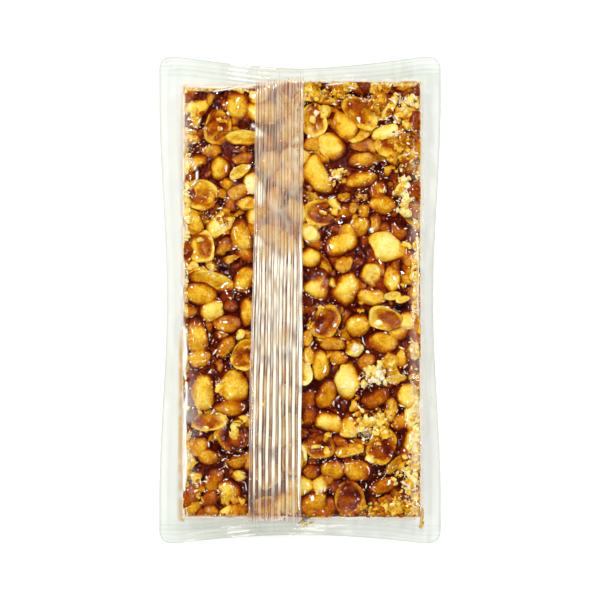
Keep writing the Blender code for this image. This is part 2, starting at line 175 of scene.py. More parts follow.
# Every kernel and piece that shows beside the fin, by its kind. Each row is its place across and along,
# its length, width, turn in degrees from X, and roast: 0 is pale cream, 0.5 golden, 1 dark amber.
KERNELS = {
    "whole": [
        (-19.5, 62.7, 9.3, 8.8, 90, 0.54), (-36.0, 51.5, 7.8, 5.4, -15, 0.39),
        (-25.3, 42.0, 7.9, 6.8, 100, 0.46), (-22.0, 30.4, 5.0, 4.2, 90, 0.84),
        (-18.6, 21.8, 11.0, 7.6, 90, 0.56), (-32.3, 1.9, 10.6, 7.0, -4, 0.62),
        (-16.7, -3.3, 9.8, 6.4, 100, 0.52), (-32.7, -10.7, 12.0, 7.4, 96, 0.62),
        (-32.3, -18.5, 8.6, 6.0, 5, 0.56), (-31.4, -29.0, 11.9, 8.5, 84, 0.44),
        (-21.5, -33.9, 11.0, 6.0, 8, 0.59), (-32.0, -46.7, 7.6, 6.2, 0, 0.64),
        (-29.4, -49.9, 6.2, 5.4, -20, 0.64), (-27.8, -56.6, 8.4, 6.6, 55, 0.74),
        (14.1, 55.7, 12.0, 8.8, -62, 0.42), (9.9, 48.5, 9.8, 8.0, -50, 0.28),
        (3.4, 49.6, 5.0, 4.0, 0, 0.55), (19.5, 24.0, 7.2, 6.4, 40, 0.70),
        (13.1, 17.8, 11.4, 7.2, 32, 0.45), (2.9, 13.8, 8.0, 7.2, 0, 0.40),
        (13.9, 11.3, 6.6, 5.0, 25, 0.58), (6.2, 5.1, 11.3, 8.65, 60, 0.45),
        (14.7, 3.0, 11.8, 9.0, 55, 0.48), (18.5, -7.7, 9.0, 7.2, 30, 0.62),
        (27.0, -13.4, 10.2, 6.4, -14, 0.52), (6.6, -20.6, 8.6, 5.4, 95, 0.40),
        (8.3, -29.3, 9.6, 6.4, 80, 0.78), (34.0, -30.7, 7.8, 5.8, 95, 0.42),
        (9.6, -38.9, 10.2, 7.4, -20, 0.22), (10.9, -53.9, 8.2, 7.2, 20, 0.55),
        (18.7, -54.1, 9.4, 7.0, -8, 0.60), (26.4, -58.9, 10.0, 5.4, 17, 0.66),
        (3.8, -65.0, 8.8, 6.4, 25, 0.62),
    ],
    "domed": [
        (-35.2, 67.0, 6.0, 4.0, 0, 0.84), (-18.3, 44.8, 7.0, 4.4, 20, 0.56),
        (-19.6, 34.3, 7.6, 4.4, 25, 0.74), (-17.3, 7.0, 9.8, 7.0, 60, 0.49),
        (-22.0, -1.9, 4.8, 4.4, 0, 0.92), (-22.9, -7.9, 8.6, 5.8, 0, 0.66),
        (-29.3, -63.5, 6.8, 5.4, 45, 0.74), (-28.3, -67.0, 4.6, 3.6, 0, 0.69),
        (19.5, 44.3, 8.4, 4.4, 8, 0.62), (19.5, 38.4, 9.6, 4.8, 3, 0.35), (33.6, 68.2, 6.6, 2.8, 15, 0.55),
        (26.6, 30.4, 8.8, 6.2, -6, 0.58), (29.5, 6.4, 9.2, 6.0, 88, 0.45), (23.2, 1.1, 8.6, 5.6, -5, 0.50),
        (10.7, -13.8, 8.0, 4.8, -10, 0.68), (12.7, -18.6, 5.6, 4.2, 0, 0.78),
        (2.4, -12.2, 4.8, 3.2, 90, 0.60), (2.6, -17.4, 6.0, 4.2, 90, 0.45),
        (21.2, -19.9, 6.6, 5.0, 50, 0.80), (24.3, -31.2, 9.8, 6.8, 25, 0.80),
        (4.0, -54.4, 6.2, 4.4, 0, 0.82), (33.6, -48.6, 5.0, 4.2, 60, 0.70),
        (-34.9, -3.9, 4.2, 3.4, 0, 0.89),
    ],
    "dished": [
        (-26.2, 54.9, 11.5, 8.8, 67, 0.59), (-31.4, 33.3, 11.1, 9.4, -12, 0.46),
        (-31.3, 17.1, 11.2, 8.9, 95, 0.40), (-17.6, -17.3, 10.6, 8.0, 62, 0.46),
        (-28.8, -38.7, 12.0, 6.0, 5, 0.54), (-21.4, -43.4, 11.0, 8.9, 5, 0.89),
        (29.6, 49.4, 11.6, 8.4, -10, 0.40), (18.9, 59.2, 14.2, 7.4, -47, 0.42),
        (4.6, 57.0, 11.4, 8.2, 110, 0.50), (7.0, 27.7, 12.0, 9.0, -3, 0.55),
        (8.0, -7.0, 11.2, 8.6, 60, 0.72), (27.2, -5.8, 11.0, 7.8, -12, 0.60),
        (5.9, -46.2, 10.4, 8.4, 0, 0.62), (25.8, -46.7, 11.8, 8.8, 76, 0.66),
        (16.0, -63.2, 11.0, 9.4, 100, 0.72),
    ],
    "edged": [
        (-18.2, 51.5, 9.5, 4.2, 3, 0.42), (-19.0, 40.6, 6.4, 3.0, 32, 0.34),
        (-16.7, 31.0, 6.8, 4.2, 8, 0.49), (-28.5, 6.1, 12.8, 5.6, -12, 0.49),
        (7.5, 63.7, 7.0, 2.8, -12, 0.55), (29.4, 1.3, 5.0, 2.2, 10, 0.30), (32.6, 0.2, 4.0, 2.0, 20, 0.35),
        (30.5, -25.0, 6.0, 2.8, 10, 0.35), (15.5, -47.5, 8.8, 4.0, 12, 0.45),
        (30.2, -52.3, 6.6, 3.0, 50, 0.55), (28.3, 61.3, 8.4, 3.0, 60, 0.18),
    ],
    "broken": [
        (-33.0, 61.5, 7.4, 5.0, 0, 0.12), (27.4, 53.2, 8.6, 4.0, 12, 0.02),
        (-28.5, 64.3, 4.8, 3.8, 90, 0.49), (-27.8, 47.0, 5.8, 4.6, 0, 0.74),
        (-19.5, 48.0, 4.8, 2.8, 0, 0.84), (-32.5, 43.2, 8.2, 6.8, 90, 0.44),
        (-25.0, 24.3, 9.6, 6.4, 60, 0.10), (-34.0, 25.0, 7.2, 5.8, 100, 0.59),
        (-24.5, 16.5, 6.4, 5.0, 60, 0.66), (-22.0, 13.2, 5.4, 4.6, 0, 0.70),
        (-34.5, 10.9, 3.8, 3.2, 0, 0.14), (-27.8, -3.2, 7.6, 5.8, 30, 0.34),
        (-18.6, -11.0, 3.4, 2.6, 0, 0.14), (-16.4, -11.3, 3.6, 3.0, 0, 0.79),
        (-23.7, -15.6, 7.2, 5.0, 60, 0.64), (-21.2, -27.6, 8.4, 7.6, 80, 0.34),
        (-25.5, -28.4, 4.0, 2.8, 80, 0.19), (-17.9, -37.9, 3.4, 2.2, 0, 0.14),
        (-25.9, -43.0, 3.0, 2.6, 0, 0.29), (-35.2, -52.6, 5.6, 3.8, 90, 0.16),
        (-33.6, -56.3, 5.6, 5.0, 0, 0.19), (-19.8, -51.5, 7.4, 4.4, 10, 0.69),
        (-19.5, -56.0, 3.8, 2.8, 0, 0.19), (-23.2, -61.0, 7.8, 7.2, 0, 0.42),
        (-34.8, -66.0, 6.8, 5.0, 10, 0.44), (-18.9, -67.0, 7.8, 4.8, 5, 0.64),
        (-23.7, -67.0, 4.6, 2.4, 50, 0.26), (-18.6, -64.0, 3.6, 2.2, 80, 0.09),
        (8.2, 59.8, 4.2, 3.6, 0, 0.45), (35.2, 58.2, 6.2, 5.2, 0, 0.12),
        (6.0, 40.6, 11.8, 10.6, -35, 0.25), (29.4, 44.3, 4.8, 2.8, 0, 0.60),
        (14.6, 67.8, 5.8, 3.4, 20, 0.45), (24.2, 67.6, 5.6, 3.4, 0, 0.50), (27.2, 66.8, 3.6, 2.8, 0, 0.50),
        (14.0, 33.1, 3.8, 3.0, 0, 0.50), (19.7, 32.7, 4.2, 3.0, 80, 0.60),
        (2.9, 21.8, 6.6, 4.6, -30, 0.15), (26.6, 17.0, 11.2, 9.0, 0, 0.14),
        (34.4, 17.0, 4.2, 2.8, 0, 0.10), (22.4, 8.2, 6.6, 5.6, 60, 0.48), (3.8, -8.6, 3.8, 3.2, 0, 0.45),
        (34.0, -6.9, 6.4, 5.2, 0, 0.30), (25.1, -7.6, 3.6, 2.8, 0, 0.12), (17.3, -15.5, 4.8, 4.4, 0, 0.00),
        (28.8, -19.4, 6.2, 5.2, 0, 0.40), (32.2, -18.0, 6.2, 3.6, 100, 0.50),
        (35.8, -16.0, 5.6, 4.2, 90, 0.15), (15.0, -25.6, 11.6, 10.2, -50, 0.18),
        (17.4, -33.9, 4.2, 3.6, 0, 0.45), (28.8, -35.0, 7.6, 5.2, 80, 0.50),
        (35.8, -37.0, 8.2, 4.4, 90, 0.10), (15.4, -39.7, 8.2, 6.0, 80, 0.28),
        (22.7, -50.6, 3.2, 2.8, 0, 0.05), (35.4, -45.0, 8.8, 5.2, 84, 0.12),
        (36.4, -52.5, 6.0, 3.4, 92, 0.2), (6.6, -58.7, 7.6, 5.2, 35, 0.14),
        (27.2, -63.4, 4.2, 3.0, 0, 0.70), (32.0, -65.0, 4.2, 3.8, 0, 0.35),
    ],
}

# Where kernels were roasted darker than the rest, or paler: across, along, reach across and along, how much.
ROASTED_PATCHES = (
    (0.0, -62.0, 80.0, 15.0, 0.12), (-20.5, -16.0, 5.0, 42.0, 0.09), (-20.5, -30.0, 5.0, 14.0, 0.08),
    (11.0, 6.0, 11.0, 13.0, -0.18), (26.0, -9.0, 6.0, 8.0, -0.1), (35.0, -6.0, 5.0, 32.0, -0.12),
    (35.0, -16.0, 5.0, 8.0, -0.2), (34.0, 34.0, 5.0, 7.0, -0.2), (3.0, -45.0, 7.0, 20.0, 0.08),
    (-31.0, -63.0, 5.0, 4.0, 0.2), (25.5, -62.0, 5.0, 5.0, 0.25), (11.0, -50.0, 9.0, 4.0, 0.1),
    (35.0, -50.0, 5.0, 4.0, 0.2), (6.5, -27.0, 5.0, 6.0, 0.1), (-30.0, 25.0, 5.0, 4.0, 0.15),
    (6.5, 51.0, 5.0, 4.0, 0.18), (-20.5, 58.0, 6.0, 6.0, -0.15), (6.5, 59.0, 5.0, 3.0, -0.12),
)

# Places where kernels were crushed to crumbs: across, along, spread across, spread along, crumbs, roast.
CRUSHED = [
    (3.8, 66.5, 4.0, 3.0, 60, 0.35), (12.0, 66.5, 5.0, 2.5, 40, 0.50), (33.0, 61.5, 4.5, 4.0, 50, 0.35),
    (23.5, 62.5, 4.0, 4.0, 45, 0.60), (34.5, 50.0, 3.0, 6.0, 45, 0.55), (33.5, 33.9, 3.6, 4.6, 60, 0.12),
    (33.0, 43.0, 4.0, 4.5, 50, 0.60), (23.7, -23.8, 3.8, 3.0, 50, 0.00), (20.4, -39.7, 3.4, 3.6, 45, 0.20),
    (25.4, -38.7, 3.6, 3.4, 45, 0.30), (34.8, -57.0, 3.0, 6.0, 60, 0.25),
    (31.0, -66.0, 5.0, 3.0, 70, 0.40), (24.0, -67.0, 4.5, 2.0, 40, 0.45), (12.2, 39.8, 2.6, 2.0, 25, 0.08),
    (-34.5, 56.0, 2.5, 3.0, 30, 0.45), (-23.5, 26.0, 4.0, 2.5, 25, 0.45),
    (-1.0, 55.0, 0.9, 12.0, 50, 0.05), (36.9, -46.0, 1.0, 13.0, 110, 0.12),
    (36.9, 8.0, 0.8, 14.0, 60, 0.2), (-36.1, 30.0, 0.6, 18.0, 110, 0.1),
    (-36.0, -46.0, 0.7, 12.0, 80, 0.1), (-33.5, -61.0, 3.0, 3.0, 30, 0.55),
    (25.8, -42.2, 3.0, 1.8, 25, 0.35),
]

# sRGB colours of each finish, kernels from bare to thickly coated in caramel or deep in painted shade.
KERNEL_TONES = (
    (0.0, "FFEFA6"), (0.14, "FFDF6E"), (0.3, "F4C43A"), (0.46, "D4900C"), (0.62, "AC5202"), (0.8, "7A2400"),
    (1.0, "3E0800"),
)
GROUND_NUT_TONES = ((0.3, "D59C3C"), (0.5, "F2CE80"), (0.7, "FFEDBE"))
# The dust's tones also colour the specks and flakes that stand in for painted glints.
DUST_TONES = ((0.32, "FFDCA4"), (0.56, "FFF5E0"))
CARAMEL_TONES = ((0.0, "200100"), (0.35, "641000"), (0.7, "B04A00"), (1.0, "D08010"))
FILM_TINT = "FEFEFD"
FREE_TINT = "F6F8F6"
# Painted shade darkens the film at its folds and between the fin's ribs.
FOLD_TINT = "D4D8CE"
FIN_GAP_TINT = "8E624A"
# The stain tints stand for a painted glow of light from the slab on the film, and tint the fin's stain.
STAIN_TINT = "D1A04A"
STAIN_WHITE = "FFEAB4"
TABLE_WHITE = "BCBCBC"
TABLE_GLOW = 0.6


rng = np.random.RandomState(SEED)


def mix(a, b, t):
    return a + (b - a) * t


def smooth(t):
    """Ease from 0 to 1 as t goes from 0 to 1."""
    t = np.clip(t, 0.0, 1.0)
    return t * t * (3.0 - 2.0 * t)


def bell(*shares):
    """1 at a middle, fading out past a reach, for distances given as shares of that reach."""
    return np.exp(-sum(share ** 2 for share in shares))


def mostly_low(low, more, power=2.0):
    """A random number that is most often near the low one."""
    return low + more * rng.uniform() ** power


def patches(x, y, rows):
    """Soft oval patches, each row a place across and along, a reach across and along, and a strength."""
    shown = np.zeros_like(x)
    for middle_x, middle_y, wide, long, strength in rows:
        shown += strength * bell((x - middle_x) / wide, (y - middle_y) / long)
    return shown


# ---------------------------------------------------------------- outline of the pack


def half_width(y):
    """Distance from the pack's centre line to its side fold."""
    return mix(PACK_WIDTH_AT_MIDDLE, PACK_WIDTH_AT_ENDS, smooth(np.abs(y) / WAIST_REACH)) / 2


def half_length(x, sign):
    """Distance from the pack's middle to the end at +Y or -Y."""
    dip, power = TOP_END_DIP if sign > 0 else BOTTOM_END_DIP
    reach = np.minimum(np.abs(x) / DIP_HALF_WIDTH, 1.0)
    return PACK_LENGTH / 2 - dip * (1.0 - reach ** power)


def end_reach(x, y):
    """Distance from the pack's middle to the end on a point's own side."""
    return np.where(y > 0, half_length(x, 1), half_length(x, -1))


def slab_top_edge(x):
    """The slab's far cut edge, which has lost a little at its left corner."""
    return SLAB_TOP + 0.8 - CORNER_LOSS * smooth((2.0 - x) / 20.0)


def off_slab(x, y):
    """How far a place lies outside the slab's outline, less than 0 inside it."""
    return np.maximum.reduce([SLAB_LEFT - x, x - SLAB_RIGHT, SLAB_BOTTOM - y, y - slab_top_edge(x)])


def round_corner(x, y):
    """Points of the film with its outline turned round its four corners."""
    edge_x = half_width(y)
    edge_y = end_reach(x, y)
    px = (np.abs(x) - edge_x + CORNER_RADIUS) / CORNER_RADIUS
    py = (np.abs(y) - edge_y + CORNER_RADIUS) / CORNER_RADIUS
    in_corner = (px > 0) & (py > 0)
    pull = np.maximum(px, py) / np.maximum(np.hypot(px, py), 1e-6)
    new_x = np.copysign(edge_x - CORNER_RADIUS + CORNER_RADIUS * px * pull, x)
    new_y = np.copysign(edge_y - CORNER_RADIUS + CORNER_RADIUS * py * pull, y)
    return np.where(in_corner, new_x, x), np.where(in_corner, new_y, y)


# ---------------------------------------------------------------- height maps


# Places of a map's columns and rows, which cover the pack, and the height of a cell on which nothing fell.
MAP_X = np.arange(-46.0, 46.0 + CELL, CELL)
MAP_Y = np.arange(-80.0, 80.0 + CELL, CELL)
MAP_SHAPE = (len(MAP_Y), len(MAP_X))
EMPTY = -99.0


def soften(field, radius):
    """A map blurred over a radius in millimetres."""
    fy = np.fft.fftfreq(field.shape[0], CELL)[:, None]
    fx = np.fft.fftfreq(field.shape[1], CELL)[None, :]
    spread = np.exp(-2.0 * (math.pi * radius) ** 2 * (fx * fx + fy * fy))
    return np.real(np.fft.ifft2(np.fft.fft2(field) * spread))


def random_map(radius):
    """A smooth random map whose lumps have the radius given, with a spread of 1."""
    field = soften(rng.normal(size=MAP_SHAPE), radius)
    return field / field.std()


def highest_beside(field, steps=(-1, 1)):
    """A map of the highest of the cells beside each cell."""
    return np.max([np.roll(field, step, axis) for step in steps for axis in (0, 1)], axis=0)


def dropped(points):
    """The map of highest points where points fall on it, with pin holes filled."""
    top = np.full(MAP_SHAPE, EMPTY)
    column = np.clip(np.round((points[:, 0] - MAP_X[0]) / CELL).astype(int), 0, len(MAP_X) - 1)
    row = np.clip(np.round((points[:, 1] - MAP_Y[0]) / CELL).astype(int), 0, len(MAP_Y) - 1)
    np.maximum.at(top, (row, column), points[:, 2])
    return np.where(top == EMPTY, highest_beside(top), top)


def read_map(field, x, y):
    """Heights of a map at points, between its cells."""
    column = np.clip((x - MAP_X[0]) / CELL, 0, len(MAP_X) - 1.001)
    row = np.clip((y - MAP_Y[0]) / CELL, 0, len(MAP_Y) - 1.001)
    c, r = column.astype(int), row.astype(int)
    u, v = column - c, row - r
    low = mix(field[r, c], field[r, c + 1], u)
    high = mix(field[r + 1, c], field[r + 1, c + 1], u)
    return mix(low, high, v)


# ---------------------------------------------------------------- making meshes


def make_piece(name, points, faces, material, slot, faceted=False, **values):
    """A mesh object from points in millimetres, with one named value for each point where given."""
    data = bpy.data.meshes.new(name)
    data.from_pydata((np.asarray(points) * METRES_PER_MM).tolist(), [], [list(f) for f in faces])
    for key, value in values.items():
        data.attributes.new(key, "FLOAT", "POINT").data.foreach_set("value", np.asarray(value, np.float32))
    data.materials.append(material)
    if not faceted:
        data.shade_smooth()
    data.validate()
    piece = bpy.data.objects.new(name, data)
    bpy.context.scene.collection.objects.link(piece)
    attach(piece, "root")
    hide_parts("sealed_pack")
    return piece


def sheet_faces(rows, columns):
    """Faces of a sheet of points that run row by row, and the points round its rim."""
    index = np.arange(rows * columns).reshape(rows, columns)
    quads = np.stack([index[:-1, :-1], index[:-1, 1:], index[1:, 1:], index[1:, :-1]], -1).reshape(-1, 4)
    rim = np.concatenate([index[0, :-1], index[:-1, -1], index[-1, :0:-1], index[:0:-1, 0]])
    return quads, rim


def closed_below(top, quads, rim, rings):
    """A sheet closed by rings of points that lead down from its rim, and by one face inside the last."""
    points, faces, above = [top], quads.tolist(), rim
    for ring in rings:
        below = sum(len(p) for p in points) + np.arange(len(rim))
        points.append(ring)
        faces += np.column_stack([np.roll(above, 1), np.roll(below, 1), below, above]).tolist()
        above = below
    faces.append(above[::-1].tolist())
    return np.concatenate(points), faces


def as_points(x, y, z):
    """A sheet's places and heights as rows of points."""
    return np.column_stack([x.ravel(), y.ravel(), z.ravel()])


def filled_up(values, points, rest=0.0):
    """A sheet's values, with the rest for the points that follow its own."""
    return np.concatenate([values.ravel(), np.full(len(points) - values.size, rest)])


def ball(detail):
    """Points and triangles of a ball of radius 1."""
    mesh = bmesh.new()
    bmesh.ops.create_icosphere(mesh, subdivisions=detail, radius=1.0)
    points = np.array([v.co for v in mesh.verts])
    faces = np.array([[v.index for v in f.verts] for f in mesh.faces])
    mesh.free()
    return points, faces


BALLS = {detail: ball(detail) for detail in (1, 2, 3, 4, 5)}


class Heap:
    """Many small closed bodies that become one piece."""

    def __init__(self):
        self.points, self.faces, self.values = [], [], {}
        self.count = 0

    def add(self, points, faces, **values):
        self.points.append(points)
        self.faces.append(faces + self.count)
        for key, value in values.items():
            self.values.setdefault(key, []).append(np.broadcast_to(value, len(points)))
        self.count += len(points)

    def all_points(self):
        return np.concatenate(self.points)

    def all_values(self):
        return {key: np.concatenate(value) for key, value in self.values.items()}

    def make(self, name, material, slot, **more):
        return make_piece(name, self.all_points(), np.concatenate(self.faces), material, slot,
                          **self.all_values(), **more)


WAVES = 5


def random_direction():
    normal = rng.normal(size=3)
    return normal / np.linalg.norm(normal)


def wavy(points, pitch, strength):
    """A smooth random value at points in space, with waves about pitch long."""
    value = np.zeros(len(points))
    for _ in range(WAVES):
        direction = rng.normal(size=3)
        direction *= 2 * math.pi / (pitch * np.linalg.norm(direction) * rng.uniform(0.7, 1.4))
        value += np.sin(points @ direction + rng.uniform(0, 2 * math.pi))
    return value * strength / WAVES ** 0.5


# ---------------------------------------------------------------- forms of kernels


def kernel_form(sphere, length, width, height):
    """A whole skinned kernel: a blunt egg, pressed flat here and there, with a seam round its long way."""
    x, y, z = sphere.T
    off_middle = np.minimum(np.abs(x), 0.999)
    fuller = np.sqrt((1.0 - off_middle ** 2.5) / (1.0 - off_middle ** 2))
    taper = (1.0 - rng.uniform(0.02, 0.16) * x) * fuller
    tip = rng.uniform(0.0, 0.04) * length * np.exp(-((1.0 - x) / 0.10))
    points = np.column_stack([x * length / 2 + tip, y * taper * width / 2, z * taper * height / 2])
    lumps = 1.0 + wavy(sphere, 1.7, 0.06) + wavy(sphere, 0.7, 0.028) + wavy(sphere, 0.3, 0.008)
    roll = rng.uniform(0, math.pi)
    seam_at = y * math.sin(roll) + z * math.cos(roll)
    seam = 1.0 - 0.04 * bell(seam_at / 0.07)
    points *= (lumps * seam)[:, None]
    for _ in range(4):
        normal = random_direction()
        reach = np.linalg.norm(np.array([length, width, height]) / 2 * normal)
        past = np.maximum(points @ normal - 0.83 * reach, 0.0)
        points -= np.outer(0.7 * past, normal)
    return points


def half_form(sphere, length, width, height, dish):
    """A split kernel with its flat side up: a soft, partly worn rim, a shallow dish and a groove along it."""
    points = kernel_form(sphere, length, width, height)
    x, y, z = sphere.T
    flat = sphere * np.array([1, 1, 0])
    r = np.hypot(x, y)
    hollow = smooth((0.94 + wavy(flat, 0.9, 0.07) - r) / 0.34)
    groove = bell(y / 0.10) * smooth((0.75 - np.abs(x)) / 0.3)
    worn = smooth(wavy(flat, 1.8, 1.0) - 0.3) * smooth((r - 0.55) / 0.4)
    face = -dish * hollow * (0.6 + 0.4 * (1 - r * r)) - 0.25 * dish * groove - 1.2 * dish * worn
    face += wavy(flat, 0.5, 0.10 * dish) + wavy(flat, 1.1, 0.25 * dish)
    upper = z > 0
    points[upper, 2] = face[upper]
    toward = rng.uniform(0, 2 * math.pi)
    sideways = x * math.cos(toward) + y * math.sin(toward)
    darker = smooth(0.65 + 0.35 * sideways - 0.35 * r * r + wavy(sphere, 0.8, 0.2))
    return points, upper & (r < 0.99), hollow * upper, mix(*DISH_GLAZE, darker)


def broken_form(sphere, length, width, height, cuts, nearest):
    """A piece of kernel with rough flat breaks, and which of its points lie on a break.

    Breaks lie no nearer to its middle than the share of its reach given.
    """
    points = kernel_form(sphere, length, width, height)
    on_break = np.zeros(len(points), bool)
    size = np.array([length, width, height]) / 2
    for _ in range(cuts):
        normal = rng.normal(size=3)
        normal[2] = abs(normal[2]) * 0.8
        normal /= np.linalg.norm(normal)
        reach = np.linalg.norm(size * normal)
        past = points @ normal - reach * rng.uniform(nearest, 0.8)
        cut = past > 0
        rough = wavy(points, 2.0, 0.18) + wavy(points, 0.8, 0.12) + rng.normal(size=len(points)) * 0.06
        points = np.where(cut[:, None], points - np.outer(past - rough, normal), points)
        on_break |= cut
    return points, on_break


def turned(points, roll, pitch, turn):
    """Points rolled about their long way, pitched nose up, and turned from X, in degrees."""
    for angle, (a, b) in ((roll, (1, 2)), (pitch, (0, 2)), (turn, (0, 1))):
        c, s = math.cos(math.radians(angle)), math.sin(math.radians(angle))
        first, second = points[:, a].copy(), points[:, b].copy()
        points[:, a] = c * first - s * second
        points[:, b] = s * first + c * second
    return points


# How far a cut kernel may stand behind or before the slab's cut face.
CUT_PLAY = (-0.1, 0.3)


def trimmed(points):
    """Points kept inside the slab's cut faces, and which of them lie on a cut face."""
    play = rng.uniform(*CUT_PLAY)
    far = slab_top_edge(points[:, 0]) + play
    x = np.clip(points[:, 0], SLAB_LEFT - play, SLAB_RIGHT + play)
    y = np.clip(points[:, 1], SLAB_BOTTOM - play, far)
    z = np.maximum(points[:, 2], UNDERSIDE - play)
    cut = (x != points[:, 0]) | (y != points[:, 1]) | (z != points[:, 2])
    return np.column_stack([x, y, z]), cut


# How high each kind's top lies, and how much that varies. Kernels shorter than a full one lie lower.
TOPS = {"whole": 10.1, "domed": 9.8, "dished": 9.8, "edged": 10.2, "broken": 9.9}
SPREAD_OF_TOPS = 0.25
FULL_LENGTH = 8.0
SHORT_DROP = 0.9
# What shows of a kernel is less than its whole size, because caramel covers its foot.
SWELL = 1.18
BROKEN_SWELL = 1.12
# Kernels longer than the first get finer meshes, and pieces longer than the second lost less in breaking.
FINE_LENGTH = 6.0
LARGE_PIECE = 7.5
# Painted shade darkens each kernel towards one side, and wide kernels get no more of it than ones of this
# width.
RUN_OFF_LEAN = 0.18
WIDE_KERNEL = 8.5
# How near two scattered kernels may lie, as a share of their sizes, on top and deeper down.
CLOSENESS = 0.78
DEEPER_CLOSENESS = 0.52
SMALL_CLOSENESS = 0.62


def lying_form(sphere, kind, length, width, turn):
    """A kernel of a kind, tilted and turned as it lies, and where its breaks and its dish are."""
    dish = dish_glaze = np.zeros(1)
    fresh = np.zeros(1, bool)
    if kind == "whole":
        points = kernel_form(sphere, length, width, 0.9 * width)
        tilt = rng.uniform(-25, 25), rng.uniform(-8, 8)
    elif kind == "domed":
        points = kernel_form(sphere, length, width, 0.9 * width)
        points[:, 2] = np.where(points[:, 2] < 0, 0.15 * points[:, 2], points[:, 2])
        tilt = rng.uniform(-14, 14), rng.uniform(-8, 8)
    elif kind == "dished":
        points, fresh, dish, dish_glaze = half_form(sphere, length, width, 0.9 * width, 0.10 * width)
        tilt = rng.uniform(-6, 6), rng.uniform(-4, 4)
    elif kind == "edged":
        points, fresh, dish, dish_glaze = half_form(sphere, length, 1.05 * width, 1.05 * width, 0.06 * width)
        dish_glaze = 0.5 * dish_glaze
        tilt = rng.choice([-1, 1]) * rng.uniform(20, 36), rng.uniform(-5, 5)
    else:
        cuts, nearest = (2, 0.6) if length > LARGE_PIECE else (3, 0.35)
        points, fresh = broken_form(sphere, length, width, 0.85 * width, cuts, nearest)
        tilt = 0, rng.uniform(-8, 8)
    return turned(points, *tilt, turn), fresh, dish, dish_glaze


def lay_kernel(heap, kind, row, drop=0.0):
    """Add one kernel of a kind to a heap at its place."""
    x, y, length, width, turn, roast = row
    if kind != "dished":
        length, width = SWELL * length, SWELL * width
    top = TOPS[kind] + rng.normal() * SPREAD_OF_TOPS - drop
    top -= SHORT_DROP * (1.0 - min(1.0, length / FULL_LENGTH))
    detail = 4 if length > FINE_LENGTH and drop < 1.0 else 3
    sphere, faces = BALLS[detail + 1 if kind == "dished" else detail]
    if kind == "broken":
        length, width = BROKEN_SWELL * length, BROKEN_SWELL * width
    points, fresh, dish, dish_glaze = lying_form(sphere, kind, length, width, turn)
    roast = roast + patches(x, y, ROASTED_PATCHES)
    middle = (points.min(axis=0) + points.max(axis=0)) / 2
    points += np.array([x - middle[0], y - middle[1], top - points[:, 2].max()])
    # Painted shade: each kernel darkens below its top and towards one side.
    lean = rng.uniform(0, 2 * math.pi)
    run_off = (points[:, 0] - x) * math.cos(lean) + (points[:, 1] - y) * math.sin(lean)
    sunk = (top - points[:, 2] + RUN_OFF_LEAN * run_off) * min(1.0, WIDE_KERNEL / width)
    points, cut = trimmed(points)
    heap.add(points, faces, fresh=(fresh | cut).astype(float), dish=dish, dish_glaze=dish_glaze, sunk=sunk,
             roast=roast)


def on_slab(x, y):
    """Whether a place lies on the slab, a little inside its cut edges."""
    return off_slab(x, y) < -0.3


def anywhere_on_slab():
    return rng.uniform(SLAB_LEFT, SLAB_RIGHT), rng.uniform(SLAB_BOTTOM, SLAB_TOP)


def somewhere_near(x, y, wide, long, share):
    """A random place round a middle, as far off it as shares of two spreads."""
    return x + rng.normal() * wide * share, y + rng.normal() * long * share


def room_left(taken, x, y, size, closeness):
    """Whether a new kernel fits between the ones there."""
    for row in taken:
        reach = (math.sqrt(row[2] * row[3]) + size) * 0.5 * closeness
        if (row[0] - x) ** 2 + (row[1] - y) ** 2 < reach * reach:
            return False
    return True


def scatter(taken, count, x_range, lengths, roasts, closeness=CLOSENESS):
    """Places for more kernels in the room that is left."""
    made = []
    for _ in range(4000):
        if len(made) == count:
            break
        x = rng.uniform(*x_range)
        y = rng.uniform(SLAB_BOTTOM + 1, SLAB_TOP - 1)
        length = rng.uniform(*lengths)
        width = length * rng.uniform(0.66, 0.88)
        if room_left(taken + made, x, y, math.sqrt(length * width), closeness):
            made.append((x, y, length, width, rng.uniform(0, 180), rng.uniform(*roasts)))
    return made


